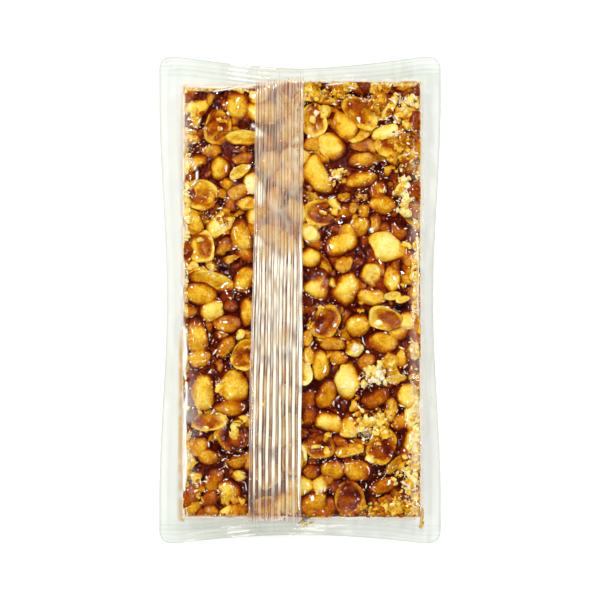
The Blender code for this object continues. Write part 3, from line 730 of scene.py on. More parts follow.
def make_heaps():
    """All the kernels, each kind in its own heap."""
    heaps = {kind: Heap() for kind in KERNELS}
    rows = [row for kind in KERNELS for row in KERNELS[kind]]
    for kind in KERNELS:
        for row in KERNELS[kind]:
            lay_kernel(heaps[kind], kind, row)
    under_fin = scatter(rows, 34, (FIN_FREE_X[1] + 1, FIN_ROOT_X[0]), (7.5, 11.5), (-0.25, 0.1))
    for x, y, length, width, _, _ in KERNELS["dished"]:
        for _ in range(rng.randint(1, 4)):
            size = rng.uniform(1.4, 3.4)
            place = (x + rng.normal() * 0.2 * width, y + rng.normal() * 0.2 * length)
            row = (*place, size, size * rng.uniform(0.55, 0.9), rng.uniform(0, 180), rng.uniform(0.0, 0.4))
            lay_kernel(heaps["broken"], "broken", row, drop=rng.uniform(-0.2, 0.3))
    kinds = list(KERNELS)
    for i, row in enumerate(under_fin):
        kind = kinds[(0, 0, 1, 2, 4, 3)[i % 6]]
        lay_kernel(heaps[kind], kind, row, drop=0.2)
    rows += under_fin
    for x, y, wide, long, count, roast in CRUSHED:
        for _ in range(count // CRUMBS_PER_PIECE):
            length = rng.uniform(1.8, 4.4)
            place = somewhere_near(x, y, wide, long, 0.5)
            width = length * rng.uniform(0.6, 0.9)
            row = (*place, length, width, rng.uniform(0, 180), roast + rng.normal() * 0.12)
            if on_slab(*place):
                lay_kernel(heaps["broken"], "broken", row, drop=rng.uniform(-0.6, 0.5))
    deeper = scatter(rows, 150, (SLAB_LEFT + 1, SLAB_RIGHT - 1), (6.5, 10.5), (0.45, 0.80), DEEPER_CLOSENESS)
    for i, row in enumerate(deeper):
        kind = ("whole", "broken", "domed", "edged")[i % 4]
        lay_kernel(heaps[kind], kind, row, drop=rng.uniform(0.9, 2.1))
    taken = rows + deeper
    for row in scatter(taken, 110, (SLAB_LEFT + 1, SLAB_RIGHT - 1), (2.0, 4.6), (0.15, 0.8), SMALL_CLOSENESS):
        lay_kernel(heaps["broken"], "broken", row, drop=rng.uniform(0.2, 1.4))
    return heaps


# How far apart kernels were cut through along the slab's sides.
CUT_KERNEL_PITCH = 4.6


def make_lower_heap():
    """Kernels of the slab's lower half, cut off flush with its underside and sides."""
    heap = Heap()
    sphere, faces = BALLS[3]

    def lay_cut(x, y, z, length, width, turn, roast):
        points = kernel_form(sphere, length, width, 0.9 * width)
        points = turned(points, 0, rng.uniform(-20, 20), turn)
        points, cut = trimmed(points + np.array([x, y, z]))
        glaze = np.where(cut, 0.12, 0.5)
        heap.add(points, faces, fresh=cut.astype(float), roast=roast, glaze=glaze)

    def lay_at_side(x, y):
        z = rng.uniform(2.5, 7.0)
        lay_cut(x, y, z, *rng.uniform((8, 6), (11, 8)), rng.uniform(0, 180), rng.uniform(0.2, 0.7))

    for x, y, *rest in scatter([], 200, (SLAB_LEFT, SLAB_RIGHT), (8.0, 11.5), (0.35, 0.8)):
        lay_cut(x, y, rng.uniform(1.8, 3.4), *rest)
    for side in (SLAB_LEFT, SLAB_RIGHT):
        for y in np.arange(SLAB_BOTTOM + 2, SLAB_TOP - 1, CUT_KERNEL_PITCH):
            lay_at_side(side + rng.uniform(-1.5, 1.5), y)
    for x in np.arange(SLAB_LEFT + 2, SLAB_RIGHT - 1, CUT_KERNEL_PITCH):
        for side in (SLAB_BOTTOM, slab_top_edge(x)):
            lay_at_side(x, side + rng.uniform(-1.5, 1.5))
    return heap


# ---------------------------------------------------------------- crumbs


# Specks tried, how likely one stays on a level place, and the share that falls where kernels were crushed.
SPECKS = 13000
SPECKS_ON_LEVEL = 0.02
SPECKS_IN_CRUSH = 0.3
EDGE_CRUMBS = 1400
GAP_CRUMBS = 1100
BOTTOM_EDGE_BROWNER = 0.35
# Crumbs for each one that CRUSHED counts, and how many it counts for each larger broken piece.
CRUMBS_FOR_EACH = 1.4
CRUMBS_PER_PIECE = 7
# The film holds everything down below these heights.
SPECK_CEILING = 10.4
FLAKE_CEILING = 10.5
CRUMB_CEILING = 10.3
CEILING_UNDER_FIN = 9.6

# Flakes of white sugar crust under the film, which also stand in for painted glints: place across and along,
# length and width.
SUGAR_FLAKES = (
    (24.9, -23.4, 3.4, 3.0), (23.6, -25.0, 2.6, 2.0), (26.2, -24.8, 2.2, 1.6), (21.6, -23.2, 1.5, 1.3),
    (22.3, -25.8, 1.7, 1.3), (26.7, -22.6, 1.3, 1.0), (18.9, -24.9, 1.3, 0.8), (17.6, -15.3, 3.0, 2.4),
    (21.5, -16.6, 1.5, 1.1), (5.3, 59.5, 3.2, 1.8), (34.1, 36.2, 2.3, 1.8), (33.2, 38.4, 1.9, 1.2),
    (32.8, 31.4, 1.6, 1.2), (32.6, 42.8, 1.2, 0.8), (22.8, 22.3, 1.9, 1.5), (33.5, -58.4, 3.0, 1.2),
    (13.7, -27.5, 1.9, 1.2), (18.7, 57.2, 2.4, 1.0), (9.5, -39.1, 2.1, 1.2), (11.9, 39.3, 1.9, 1.4),
    (9.7, 38.4, 1.4, 0.8), (11.1, -8.1, 2.1, 0.9), (35.4, -16.0, 1.4, 1.1), (29.9, 62.9, 1.5, 1.1),
    (30.3, 56.6, 1.6, 1.0), (-29.6, -56.3, 1.3, 1.0), (33.0, 7.6, 1.4, 1.0), (-22.9, 59.3, 1.1, 1.0),
    (20.2, -44.4, 1.4, 1.0), (-24.8, 23.6, 1.2, 1.0), (2.9, 52.0, 1.2, 1.0), (-34.2, -55.6, 1.3, 1.0),
    (-34.8, -28.3, 2.6, 1.0), (-25.0, 54.5, 1.3, 0.8), (-21.2, 16.5, 1.3, 1.0), (25.5, -55.4, 1.3, 1.0),
    (27.1, -10.5, 1.3, 0.9), (34.4, 49.6, 1.3, 0.8), (2.9, -20.3, 1.5, 1.0), (-24.6, -8.9, 1.2, 0.7),
)


def lay_flakes(heap, surface):
    """Add the large flakes of sugar crust, which also stand in for painted glints, to a heap."""
    sphere, faces = BALLS[3]
    for x, y, length, width in SUGAR_FLAKES:
        points, _ = broken_form(sphere, length, width, 0.6 * width, 3, 0.4)
        points = turned(points, 0, rng.uniform(-12, 12), rng.uniform(0, 180))
        top = min(read_map(surface, x, y) + 0.35 * width, FLAKE_CEILING)
        heap.add(points + np.array([x, y, top - points[:, 2].max()]), faces)


def make_specks(surface):
    """Fine pale flakes of sugar and nut, caught under the film, mostly along the feet of kernels, also
    standing in for painted glints.
    """
    heap = Heap()
    corners = np.array([(1, 0, 0), (0, 1, 0), (-1, 0, 0), (0, -1, 0), (0, 0, 1), (0, 0, -1)], float)
    faces = np.array([(a, (a + 1) % 4, 4) for a in range(4)] + [((a + 1) % 4, a, 5) for a in range(4)])
    slopes = np.gradient(soften(np.maximum(surface, 0.0), 0.5), CELL)[::-1]
    crowding = random_map(1.6)
    counts = np.array([row[4] for row in CRUSHED])
    for _ in range(SPECKS):
        if rng.uniform() < SPECKS_IN_CRUSH:
            middle_x, middle_y, wide, long, _, _ = CRUSHED[rng.choice(len(CRUSHED), p=counts / counts.sum())]
            x, y = somewhere_near(middle_x, middle_y, wide, long, 0.8)
        else:
            x, y = anywhere_on_slab()
        slope_x, slope_y = (read_map(slope, x, y) for slope in slopes)
        steep = math.hypot(slope_x, slope_y)
        crowd = smooth(0.35 + 0.5 * read_map(crowding, x, y))
        if on_slab(x, y) and rng.uniform() < crowd * (SPECKS_ON_LEVEL + smooth((steep - 0.2) / 0.8)):
            size = mostly_low(0.2, 0.45, 3.0)
            shape = size / 2 * np.array([mostly_low(1.0, 3.6, 1.5), 1.0, 0.5])
            along = math.degrees(math.atan2(slope_x, -slope_y)) + rng.normal() * 25
            points = turned(corners * shape, rng.uniform(-20, 20), rng.uniform(-15, 15), along)
            z = min(read_map(surface, x, y) + 0.35 * size, SPECK_CEILING)
            heap.add(points + np.array([x, y, z]), faces)
    return heap


def make_crumbs(kernel_map, caramel_map):
    """Crumbs of crushed kernel, lying in the gaps and where kernels were crushed."""
    heap = Heap()
    surface = np.maximum(kernel_map, caramel_map)

    def drop_crumb(x, y, size, roast):
        sphere, faces = BALLS[2 if size > 0.8 else 1]
        shape = np.array([1.0, rng.uniform(0.55, 0.9), rng.uniform(0.35, 0.7)]) * size * 0.6
        points = sphere * shape * (1.0 + rng.normal(size=(len(sphere), 1)) * 0.14)
        for _ in range(2):
            normal = random_direction()
            past = np.maximum(points @ normal - 0.5 * np.linalg.norm(shape * normal), 0.0)
            points -= np.outer(past, normal)
        points = turned(points, rng.uniform(-40, 40), rng.uniform(-40, 40), rng.uniform(0, 180))
        ceiling = CEILING_UNDER_FIN if FIN_FREE_X[1] <= x <= FIN_ROOT_X[0] else CRUMB_CEILING
        z = min(read_map(surface, x, y) + 0.12 * size, ceiling)
        heap.add(points + np.array([x, y, z]), faces, fresh=0.6, roast=roast)

    for x, y, wide, long, count, roast in CRUSHED:
        for _ in range(int(CRUMBS_FOR_EACH * count)):
            size = mostly_low(0.45, 1.8)
            px, py = somewhere_near(x, y, wide, long, 0.6)
            px = np.clip(px, SLAB_LEFT + 0.5 * size, SLAB_RIGHT - 0.5 * size)
            if on_slab(px, py):
                drop_crumb(px, py, size, np.clip(0.05 + 0.8 * roast + rng.normal() * 0.14, 0, 0.6))
    for _ in range(EDGE_CRUMBS):
        x, y = anywhere_on_slab()
        size = mostly_low(0.4, 0.8)
        inset = mostly_low(0.4 * size, 0.7, 1.5)
        browner = 0.0
        if rng.uniform() < SLAB_WIDTH / (SLAB_WIDTH + SLAB_LENGTH):
            y = rng.choice([SLAB_BOTTOM + inset, slab_top_edge(x) - inset])
            browner = BOTTOM_EDGE_BROWNER if y < 0 else 0.0
        else:
            x = rng.choice([SLAB_LEFT + inset, SLAB_RIGHT - inset])
        drop_crumb(x, y, size, mostly_low(browner, 0.4, 1.5))
    for _ in range(GAP_CRUMBS):
        x, y = anywhere_on_slab()
        in_gap = read_map(kernel_map, x, y) < CARAMEL_LEVEL + 0.8
        if on_slab(x, y) and (in_gap or rng.uniform() < 0.2):
            drop_crumb(x, y, mostly_low(0.2, 0.4), rng.uniform(0.0, 0.6))
    return heap


# Caramel that ran out into the sealed border, and crumbs lying there: place across and along, length, width,
# turn, and the crumbs' roast.
SPILLS = ((39.0, -69.6, 7.6, 1.2, 86), (38.9, -71.7, 3.0, 1.5, 70))
LOOSE_CRUMBS = (
    (1.9, -70.0, 3.2, 2.2, 8, 1.3), (0.4, -71.2, 2.4, 1.6, 50, 0.0), (3.6, -70.9, 2.8, 1.4, 20, 0.05),
    (1.6, -72.0, 2.2, 1.0, 10, 0.1),
)
LOOSE_HEIGHT = 5.4


def make_loose(kernel, caramel):
    """What lies in the border beside the slab, between the film's two skins."""
    sphere, faces = BALLS[3]
    spills, loose = Heap(), Heap()
    for x, y, length, width, turn in SPILLS:
        points = turned(kernel_form(sphere, length, width, 0.7), 0, 0, turn)
        spills.add(points + np.array([x, y, LOOSE_HEIGHT]), faces, thin=1.8, dusty=0.6)
    for x, y, length, width, turn, roast in LOOSE_CRUMBS:
        points, fresh = broken_form(sphere, length, width, 0.9, 2, 0.5)
        points = turned(points, 0, 0, turn)
        points += np.array([x, y, LOOSE_HEIGHT])
        loose.add(points, faces, fresh=fresh.astype(float), roast=roast, glaze=0.1)
    spills.make("caramel_spill", caramel, "caramel")
    loose.make("loose_crumbs", kernel, "peanut")


# ---------------------------------------------------------------- caramel


def caramel_height(kernel_map):
    """The caramel's surface: level in the gaps, creeping up against each kernel."""
    proud = (kernel_map > CARAMEL_LEVEL).astype(float)
    near = np.maximum(soften(proud, CREEP_RADIUS), 0.0)
    lumps = LUMP_HEIGHT * random_map(LUMP_RADIUS) + RIPPLE_HEIGHT * random_map(RIPPLE_RADIUS)
    level = CARAMEL_LEVEL + lumps + CARAMEL_CREEP * near ** 1.5
    return np.where(proud > 0, np.minimum(level, kernel_map - UNDER_KERNEL), level)


def edge_dust(x, y, breaks):
    """How thickly ground nut lies along the cut edges: a broad band at the right, thin ones at the others."""
    lower = mix(0.6, 1.0, smooth((10.0 - y) / 20.0))
    right = lower * bell((SLAB_RIGHT - 1.5 - x) / (1.2 * lower))
    left = bell((x - SLAB_LEFT - 0.6) / 0.6)
    from_end = np.minimum(y - SLAB_BOTTOM, slab_top_edge(x) - y)
    ends = np.where(y > 0, 0.95, 0.45) * bell((from_end - 0.5) / 0.75)
    return np.maximum.reduce([right, left, ends]) * smooth(0.75 + 0.5 * read_map(breaks, x, y))


def crush_dust(x, y):
    """How thickly ground nut lies where kernels were crushed."""
    dust = np.zeros_like(x)
    for middle_x, middle_y, wide, long, _, _ in CRUSHED:
        dust = np.maximum(dust, bell((x - middle_x) / wide, (y - middle_y) / long))
    return dust


def make_caramel(material, kernel_map, caramel_map, breaks):
    """The slab of caramel: its wavy top and its cut sides and underside."""
    columns = int(SLAB_WIDTH / CARAMEL_STEP)
    rows = int(SLAB_LENGTH / CARAMEL_STEP)
    u, v = np.meshgrid(np.linspace(0, 1, columns + 1), np.linspace(0, 1, rows + 1))
    x = mix(SLAB_LEFT, SLAB_RIGHT, u)
    y = mix(SLAB_BOTTOM, slab_top_edge(x), v)
    height = read_map(caramel_map, x, y)
    height -= 0.5 * np.exp(off_slab(x, y) / 0.5)
    top = as_points(x, y, height)
    over = read_map(kernel_map, x, y)
    cover = np.where(over > 0, np.exp(-np.maximum(height - over, 0.0) / GLAZE_DEPTH), 0.0)
    near = read_map(soften((kernel_map > CARAMEL_LEVEL).astype(float), CREEP_RADIUS), x, y)
    dusted = crush_dust(x, y)
    thin = np.clip(cover + 0.5 * near + 0.8 * dusted, 0, 1)
    dusty = np.maximum(edge_dust(x, y, breaks), 0.3 * dusted)
    quads, rim = sheet_faces(*x.shape)
    down = [mix(top[rim, 2], UNDERSIDE, level / SIDE_LEVELS) for level in range(1, SIDE_LEVELS + 1)]
    rings = [np.column_stack([top[rim, :2], height]) for height in down]
    points, faces = closed_below(top, quads, rim, rings)
    make_piece("caramel_slab", points, faces, material, "caramel",
               thin=filled_up(thin, points, 0.5), dusty=filled_up(dusty, points))


# ---------------------------------------------------------------- film


# Steps of the film's grid from its side fold or end, over the slab's edges, to the other fold or end.
FILM_STEPS_ACROSS = (9, 22, 116, 22, 9)
FILM_STEPS_ALONG = (14, 18, 10, 210, 10, 18, 14)
# Rings of the film's underside, as shares of the way from the side fold to the edge of its flat bottom.
UNDERSIDE_INSETS = (0.03, 0.3, 0.55, 0.8, 1.0)


def stations(steps):
    """Places through knots at -1, 0, 1 and so on, with the given number of equal steps between each two."""
    made = [np.array([-1.0])]
    for knot, count in enumerate(steps):
        made.append(knot - 1.0 + np.arange(1, count + 1) / count)
    return np.concatenate(made)


def film_grid():
    """Places of the film's grid points, closer together along the slab's edges and in the end seals."""
    u, v = np.meshgrid(stations(FILM_STEPS_ACROSS), stations(FILM_STEPS_ALONG))
    x = np.zeros_like(u)
    y = np.interp(v, [v.min(), v.max()], [-PACK_LENGTH / 2, PACK_LENGTH / 2])
    for _ in range(3):
        fold = half_width(y)
        left, right = np.full_like(y, SLAB_LEFT), np.full_like(y, SLAB_RIGHT)
        x = between([-fold, left - 0.6, left + 2.4, right - 2.4, right + 0.6, fold], u)
        low, high = -half_length(x, -1), half_length(x, 1)
        near, far = np.full_like(x, SLAB_BOTTOM), slab_top_edge(x)
        y = between([low, low + END_SEAL_WIDTH, near - 0.4, near + 2.0, far - 2.0, far + 0.4,
                     high - END_SEAL_WIDTH, high], v)
    return x, y


def between(knots, place):
    """Values read between knots, of which the first is at place -1."""
    step = np.clip(np.floor(place + 1).astype(int), 0, len(knots) - 2)
    t = place + 1 - step
    stack = np.array(knots)
    low = np.take_along_axis(stack, step[None], 0)[0]
    high = np.take_along_axis(stack, step[None] + 1, 0)[0]
    return mix(low, high, t)


def drape(floor_height, fixed):
    """A taut film's height: pulled flat between what it lies on, and sucked down a little in the gaps."""
    z = np.where(np.isnan(fixed), np.maximum(floor_height, FOLD_HEIGHT), fixed)
    for _ in range(DRAPE_ROUNDS):
        pulled = z.copy()
        pulled[1:-1, 1:-1] = (z[:-2, 1:-1] + z[2:, 1:-1] + z[1:-1, :-2] + z[1:-1, 2:]) / 4 - FILM_SUCTION
        z = np.where(np.isnan(fixed), np.maximum(floor_height, pulled), fixed)
    return z


def fin_edges(y):
    """Where the fin's free edge and its root lie at a place along the pack."""
    t = smooth(0.5 - y / PACK_LENGTH)
    return mix(*FIN_FREE_X, t), mix(*FIN_ROOT_X, t)


# Where the film is whiter over the slab's edges, and patches of painted shadow on its sealed border.
MILKY_PATCHES = (
    (-35.5, -38.0, 2.6, 12.0, 0.34), (-35.8, -55.0, 2.0, 6.0, 0.28), (36.8, 10.0, 1.4, 30.0, 0.22),
    (36.5, -45.0, 1.5, 20.0, 0.22), (-36.0, 50.0, 1.2, 18.0, 0.16),
)
DULL_PATCHES = (
    (-24.0, 74.5, 22.0, 3.0, 0.3), (24.0, 72.5, 22.0, 3.5, 0.38), (-24.0, -73.5, 22.0, 4.5, 0.55),
    (24.0, -74.5, 22.0, 2.5, 0.15),
)

# Creases in the film, each a line of places across and along, how proud and wide it stands, and how white its
# painted highlight is.
CREASES = (
    (((-36.9, -9.0), (-36.3, -16.0), (-36.8, -22.0), (-36.1, -27.5), (-36.0, -31.0), (-36.6, -38.0),
      (-36.4, -45.0), (-36.1, -52.0), (-36.8, -58.0), (-36.6, -65.0)), 0.25, 0.62, 1.0),
    (((37.2, 20.0), (37.6, 8.0), (37.4, 0.0), (38.0, -12.0)), 0.15, 0.26, 0.8),
    (((38.4, -20.0), (38.0, -34.0), (38.6, -46.0), (38.4, -60.0)), 0.12, 0.24, 0.5),
    (((-35.3, 44.6), (-33.2, 42.0), (-32.6, 39.6), (-32.9, 38.0), (-34.0, 36.6)), 0.2, 0.26, 1.0),
    (((-14.9, 55.4), (-13.6, 54.2), (-12.4, 53.4)), 0.2, 0.4, 1.0),
    (((-14.4, 53.0), (-13.2, 53.8), (-12.0, 54.6)), 0.2, 0.22, 0.9),
    (((-37.6, -9.2), (-36.9, -8.6), (-36.0, -10.2)), 0.2, 0.5, 1.0),
    (((22.3, 22.3), (23.3, 22.8)), 0.15, 0.6, 1.0),
    (((-27.2, 66.4), (-20.5, 67.6), (-14.0, 68.7)), 0.1, 0.4, 0.8),
    (((-1.6, -73.4), (9.0, -72.5), (25.0, -70.9)), 0.15, 0.4, 0.6),
    (((-25.0, -72.6), (-14.0, -71.2), (-4.0, -70.8)), 0.1, 0.3, 0.45),
    (((-36.0, -75.0), (-28.0, -73.8), (-18.0, -73.4)), 0.1, 0.3, 0.4),
)


def crease_marks(x, y):
    """Height that the creases add to the film, and their painted white highlight."""
    rise, white = np.zeros_like(x), np.zeros_like(x)
    for line, height, width, whiteness in CREASES:
        away = np.full(x.shape, np.inf)
        for (ax, ay), (bx, by) in zip(line, line[1:]):
            t = (x - ax) * (bx - ax) + (y - ay) * (by - ay)
            t = np.clip(t / ((bx - ax) ** 2 + (by - ay) ** 2), 0, 1)
            away = np.minimum(away, np.hypot(x - mix(ax, bx, t), y - mix(ay, by, t)))
        across = away / (width * (0.8 + 0.35 * np.sin(y / 1.7) * np.sin(y / 4.1)))
        rise += height * np.maximum(1.0 - across, 0.0)
        white = np.maximum(white, whiteness * smooth(1.6 - 1.2 * across))
    return rise, white


def edge_stain(x, y, off, patchy):
    """How strongly a warm glow of light from the slab is painted on the film just outside the slab's cut
    edges.
    """
    upper_left = 0.6 * bell((off - 0.3) / 0.5)
    lower_left = bell((off - 0.95) / 0.7)
    left = mix(upper_left, lower_left, smooth((-8.0 - y) / 8.0))
    others = 0.35 * bell((off - 0.4) / 0.7)
    return np.where(x < SLAB_LEFT, left, others) * smooth(0.8 + 0.4 * patchy)


def crimp_marks(x, y, end):
    """Crimps pressed across both ends: their height, their painted white glints in broken rows, and painted
    shade in their valleys.
    """
    wave = np.sin(2 * math.pi * (end + 0.25 * np.sin(x / 6.0)) / CRIMP_PITCH)
    fade = smooth(end / 0.4) * smooth((CRIMPED_WIDTH - end) / 1.5)
    broken = read_map(random_map(1.6), 0.8 * x, y) + 0.8 * read_map(random_map(5.0), x, y)
    glint = smooth((wave - 0.4) / 0.4) * smooth((broken - 0.3 - 0.02 * (x + 40.0)) / 0.4) * fade
    return CRIMP_HEIGHT * wave * fade, glint, smooth(-wave) * fade


def film_marks(x, y, end, glint, valley, crease_white):
    """How much painted highlight and white haze, painted shade, and painted glow of light from the slab each
    point of the film has.
    """
    off = off_slab(x, y)
    beside = np.where(x > 0, FRINGE_OFF_RIGHT, FRINGE_OFF_LEFT)
    patchy = read_map(random_map(1.2), x, y)
    # Painted highlights: white glints on the crimps, along the creases and along the slab's edges, with
    # whiter patches.
    fringe = EDGE_FRINGE * bell((off - beside) / FRINGE_WIDTH) * smooth(0.8 + 0.7 * patchy)
    milky = patches(x, y, MILKY_PATCHES) * smooth(0.6 + 0.5 * read_map(random_map(1.5), x, y))
    whitened = np.clip(np.maximum.reduce([glint, crease_white, fringe, milky]), 0.0, 1.0)
    # Painted shade at the outline's folds, in the crimps' valleys, over creases in the border and in patches
    # of shadow.
    fine, coarse = (read_map(random_map(radius), x, y / 4) for radius in (0.6, 1.5))
    creased = smooth(0.5 * fine + 0.6 * coarse - 0.2)
    fold = np.minimum(half_width(y) - np.abs(x), end)
    folded = np.clip(bell(fold / 0.4) + 0.25 * valley + 0.22 * creased * (off > 0)
                     + patches(x, y, DULL_PATCHES), 0.0, 1.0)
    return {"whitened": whitened, "folded": folded, "stained": edge_stain(x, y, off, patchy)}


def film_underside(x, y, top, rim):
    """Rings of points that lead from the film's folds and ends under the slab, to its flat bottom."""
    rim_x, rim_y = x.ravel()[rim], y.ravel()[rim]
    foot_x = SLAB_OFFSET[0] + SLAB_WIDTH / 2 * rim_x / half_width(rim_y)
    foot_y = SLAB_OFFSET[1] + SLAB_LENGTH / 2 * rim_y / end_reach(rim_x, rim_y)
    rings = []
    for inset in UNDERSIDE_INSETS:
        lowered = 0.0 if inset == UNDERSIDE_INSETS[0] else smooth(inset)
        height = np.full(len(rim), mix(FOLD_HEIGHT - FILM_GAP, 0.0, lowered))
        rings.append(as_points(mix(top[rim, 0], foot_x, inset), mix(top[rim, 1], foot_y, inset), height))
    return rings


def free_share(points):
    """How far points are out in the border beside the slab, where the film lies on nothing: 0 to 1."""
    return smooth(off_slab(*points[:, :2].T) / 2.0)


def make_film(material, surface):
    """The sealed wrap: one skin over the slab, under it, and pressed together at the ends."""
    x, y = film_grid()
    end = end_reach(x, y) - np.abs(y)
    crimp, glint, valley = crimp_marks(x, y, end)
    ridge, crease_white = crease_marks(x, y)
    fixed = np.full(x.shape, np.nan)
    fixed[end < END_SEAL_WIDTH + 1e-6] = FOLD_HEIGHT + FILM_GAP
    fixed[:, 0] = fixed[:, -1] = FOLD_HEIGHT
    fixed[0, :] = fixed[-1, :] = FOLD_HEIGHT
    over = read_map(surface, np.clip(x, SLAB_LEFT + CELL, SLAB_RIGHT - CELL),
                    np.clip(y, SLAB_BOTTOM + CELL, slab_top_edge(x) - CELL))
    floor_height = np.where(off_slab(x, y) < FILM_PROUD, over + FILM_OVER_FOOD, 0.0)
    z = drape(floor_height, fixed)
    z[1:-1, 1:-1] += (crimp + ridge)[1:-1, 1:-1]
    marks = film_marks(x, y, end, glint, valley, crease_white)
    top = as_points(*round_corner(x, y), z)
    quads, rim = sheet_faces(*x.shape)
    points, faces = closed_below(top, quads, rim, film_underside(x, y, top, rim))
    marks = {name: filled_up(values, points) for name, values in marks.items()}
    make_piece("film_wrap", points, faces, material, "clear_film", free=free_share(points), **marks)
    return x, y, z


def film_map(x, y, z):
    """The film's height as a map."""
    field = dropped(as_points(x, y, z))
    for _ in range(3):
        field = np.where(field == EMPTY, highest_beside(field), field)
    return np.where(field == EMPTY, FOLD_HEIGHT, field)


def fin_ribs():
    """Places across the fin from 0 to 1, how high each stands, and the number of its rib.

    Each rib is a flat crest of its own width between two sloping sides.
    """
    width = FIN_ROOT_X[0] - FIN_FREE_X[0]
    middles = (np.arange(RIB_COUNT) + 0.5 + rng.uniform(-0.18, 0.18, RIB_COUNT)) / RIB_COUNT
    places, heights, ribs = [0.0], [0.0], [0]
    for rib, middle in enumerate(middles):
        crest = rng.uniform(*RIB_TOPS[rib % 2]) / width / 2
        side = RIB_SIDE / width
        places += [middle + offset for offset in (-crest - side, -crest, 0.0, crest, crest + side)]
        heights += [0.0, 1.0, 1.0, 1.0, 0.0]
        ribs += [rib] * 5
    return np.array(places + [1.0]), np.array(heights + [0.0]), np.array(ribs + [RIB_COUNT - 1])


def rib_whitening(y):
    """How strongly each rib's crest is painted white as a highlight at places along the pack, a column for
    each rib.
    """
    shown = np.interp(y, *zip(*RIB_SHOWS))
    columns = []
    for rib in range(RIB_COUNT):
        wave = np.zeros_like(y)
        for pitch in (42.0, 17.0, 8.0):
            wave += np.sin(2 * math.pi * y / (pitch * rng.uniform(0.8, 1.2)) + rng.uniform(0, 2 * math.pi))
        strong = 1.0 if rib % 2 else np.interp(y, *zip(*THIN_RIB_SHOWS))
        columns.append(np.clip(strong * shown * (0.85 + 0.18 * wave), 0.0, 1.0))
    return np.column_stack(columns)


def fin_whitening(x, y, u, heights, crests):
    """How white the fin is painted: highlights on its crests, its two edges and its glints, and its cloudy
    haze.
    """
    whitened = heights * crests
    whitened[:, 0] = whitened[:, -1] = FIN_EDGE_WHITENING
    for middle, place, wide, long in FIN_GLINTS:
        leaning = (y - middle + 6.0 * (u - place)) / long
        glint = smooth(1.6 - np.hypot((u - place) / wide, leaning))
        whitened = np.maximum(whitened, glint * (0.25 + 0.75 * heights))
    clouds = patches(x, y, FIN_PATCHES) * smooth(0.6 + 0.5 * read_map(random_map(0.8), x, y))
    return np.maximum(whitened, clouds)


def make_fin(material, film):
    """The fin seal: a ribbed double strip of film, turned down flat over the slab, with painted highlights on
    its ribs and painted shade between them.
    """
    across, heights, ribs = fin_ribs()
    along = np.linspace(-1, 1, FIN_ROWS + 1) * PACK_LENGTH / 2
    u, y = np.meshgrid(across, along)
    free, root = fin_edges(y)
    x = mix(free, root, u) + 0.12 * np.sin(y / 13.0 + 9.0 * u) + 0.05 * np.sin(y / 3.1 + 5.0 * u)
    y *= end_reach(x, y) / (PACK_LENGTH / 2)
    proud = film
    for _ in range(FIN_BRIDGING):
        proud = highest_beside(proud, (-1, 0, 1))
    rest = read_map(soften(proud, FIN_STIFFNESS), x, y) + FIN_LIFT
    closer = np.maximum(rest, read_map(soften(proud, 1.0), x, y) + FIN_LIFT)
    rest = mix(rest, closer, smooth((off_slab(x, y) + 6.0) / 4.0))
    strength = 1.0 - 0.5 * smooth((y - 20.0) / 12.0)
    curl = 0.25 * smooth((0.08 - u) / 0.08) * (0.6 + 0.4 * np.sin(y / 7.0)) + 0.25 * smooth((u - 0.95) / 0.05)
    z = rest + RIB_HEIGHT * strength * heights + curl
    # Painted highlights on the ribs' crests, the edges and glints, with cloudy haze, and painted shade
    # between the ribs.
    whitened = fin_whitening(x, y, u, heights, rib_whitening(along)[:, ribs])
    folded = (1.0 - heights) * rng.uniform(0.3, 1.0, len(across)) * (0.7 + 0.3 * np.sin(y / 11.0 + 20.0 * u))
    top = as_points(x, y, z)
    bottom = top - np.array([0, 0, FIN_THICKNESS])
    quads, rim = sheet_faces(*x.shape)
    under = quads[:, ::-1] + len(top)
    before = np.roll(rim, 1)
    side = np.column_stack([before, before + len(top), rim + len(top), rim])
    points = np.concatenate([top, bottom])
    stained = mix(*FIN_STAIN, smooth((y - FIN_STAIN_START) / 8.0))
    free = free_share(points)
    whitened = filled_up(whitened, points) * (1.0 - 0.9 * free)
    folded = filled_up(folded, points) * (1.0 - free)
    stained = filled_up(stained, points) * (1.0 - free)
    make_piece("film_fin_seal", points, np.concatenate([quads, under, side]), material, "clear_film",
               free=free, whitened=whitened, folded=folded, stained=stained)


# ---------------------------------------------------------------- materials


def linear(hex_colour):
    """Linear RGBA of an sRGB hex colour."""
    channels = [int(hex_colour[i:i + 2], 16) / 255 for i in (0, 2, 4)]
    return (*[c / 12.92 if c <= 0.04045 else ((c + 0.055) / 1.055) ** 2.4 for c in channels], 1.0)


def add(material, kind, settings=None, **inputs):
    """A node with its settings, and its inputs set to values or linked to other nodes.

    A node given as an input stands for its first output. Inputs are named with _ for a space, or by number
    as i0, i1 and so on.
    """
    tree = material.node_tree
    node = tree.nodes.new(kind)
    for key, value in (settings or {}).items():
        setattr(node, key, value)
    for key, value in inputs.items():
        name = int(key[1:]) if key[0] == "i" and key[1:].isdigit() else key.replace("_", " ")
        if isinstance(value, bpy.types.Node):
            value = value.outputs[0]
        if isinstance(value, bpy.types.NodeSocket):
            tree.links.new(value, node.inputs[name])
        else:
            node.inputs[name].default_value = value
    return node


def start_material(name):
    material = bpy.data.materials.new(name)
    material.use_nodes = True
    material.node_tree.nodes.clear()
    return material


def finish_material(material, shader):
    add(material, "ShaderNodeOutputMaterial", Surface=shader)
    return material


def scale_of(size_mm):
    """The scale of a cloudy pattern whose patches are about size_mm across."""
    return 1.0 / (size_mm * METRES_PER_MM * 2)


def set_tones(node, tones):
    """Lay a row of tones along a colour ramp."""
    stops = node.color_ramp.elements
    while len(stops) < len(tones):
        stops.new(0.5)
    for stop, (place, colour) in zip(stops, tones):
        stop.position = place
        stop.color = linear(colour)
    return node


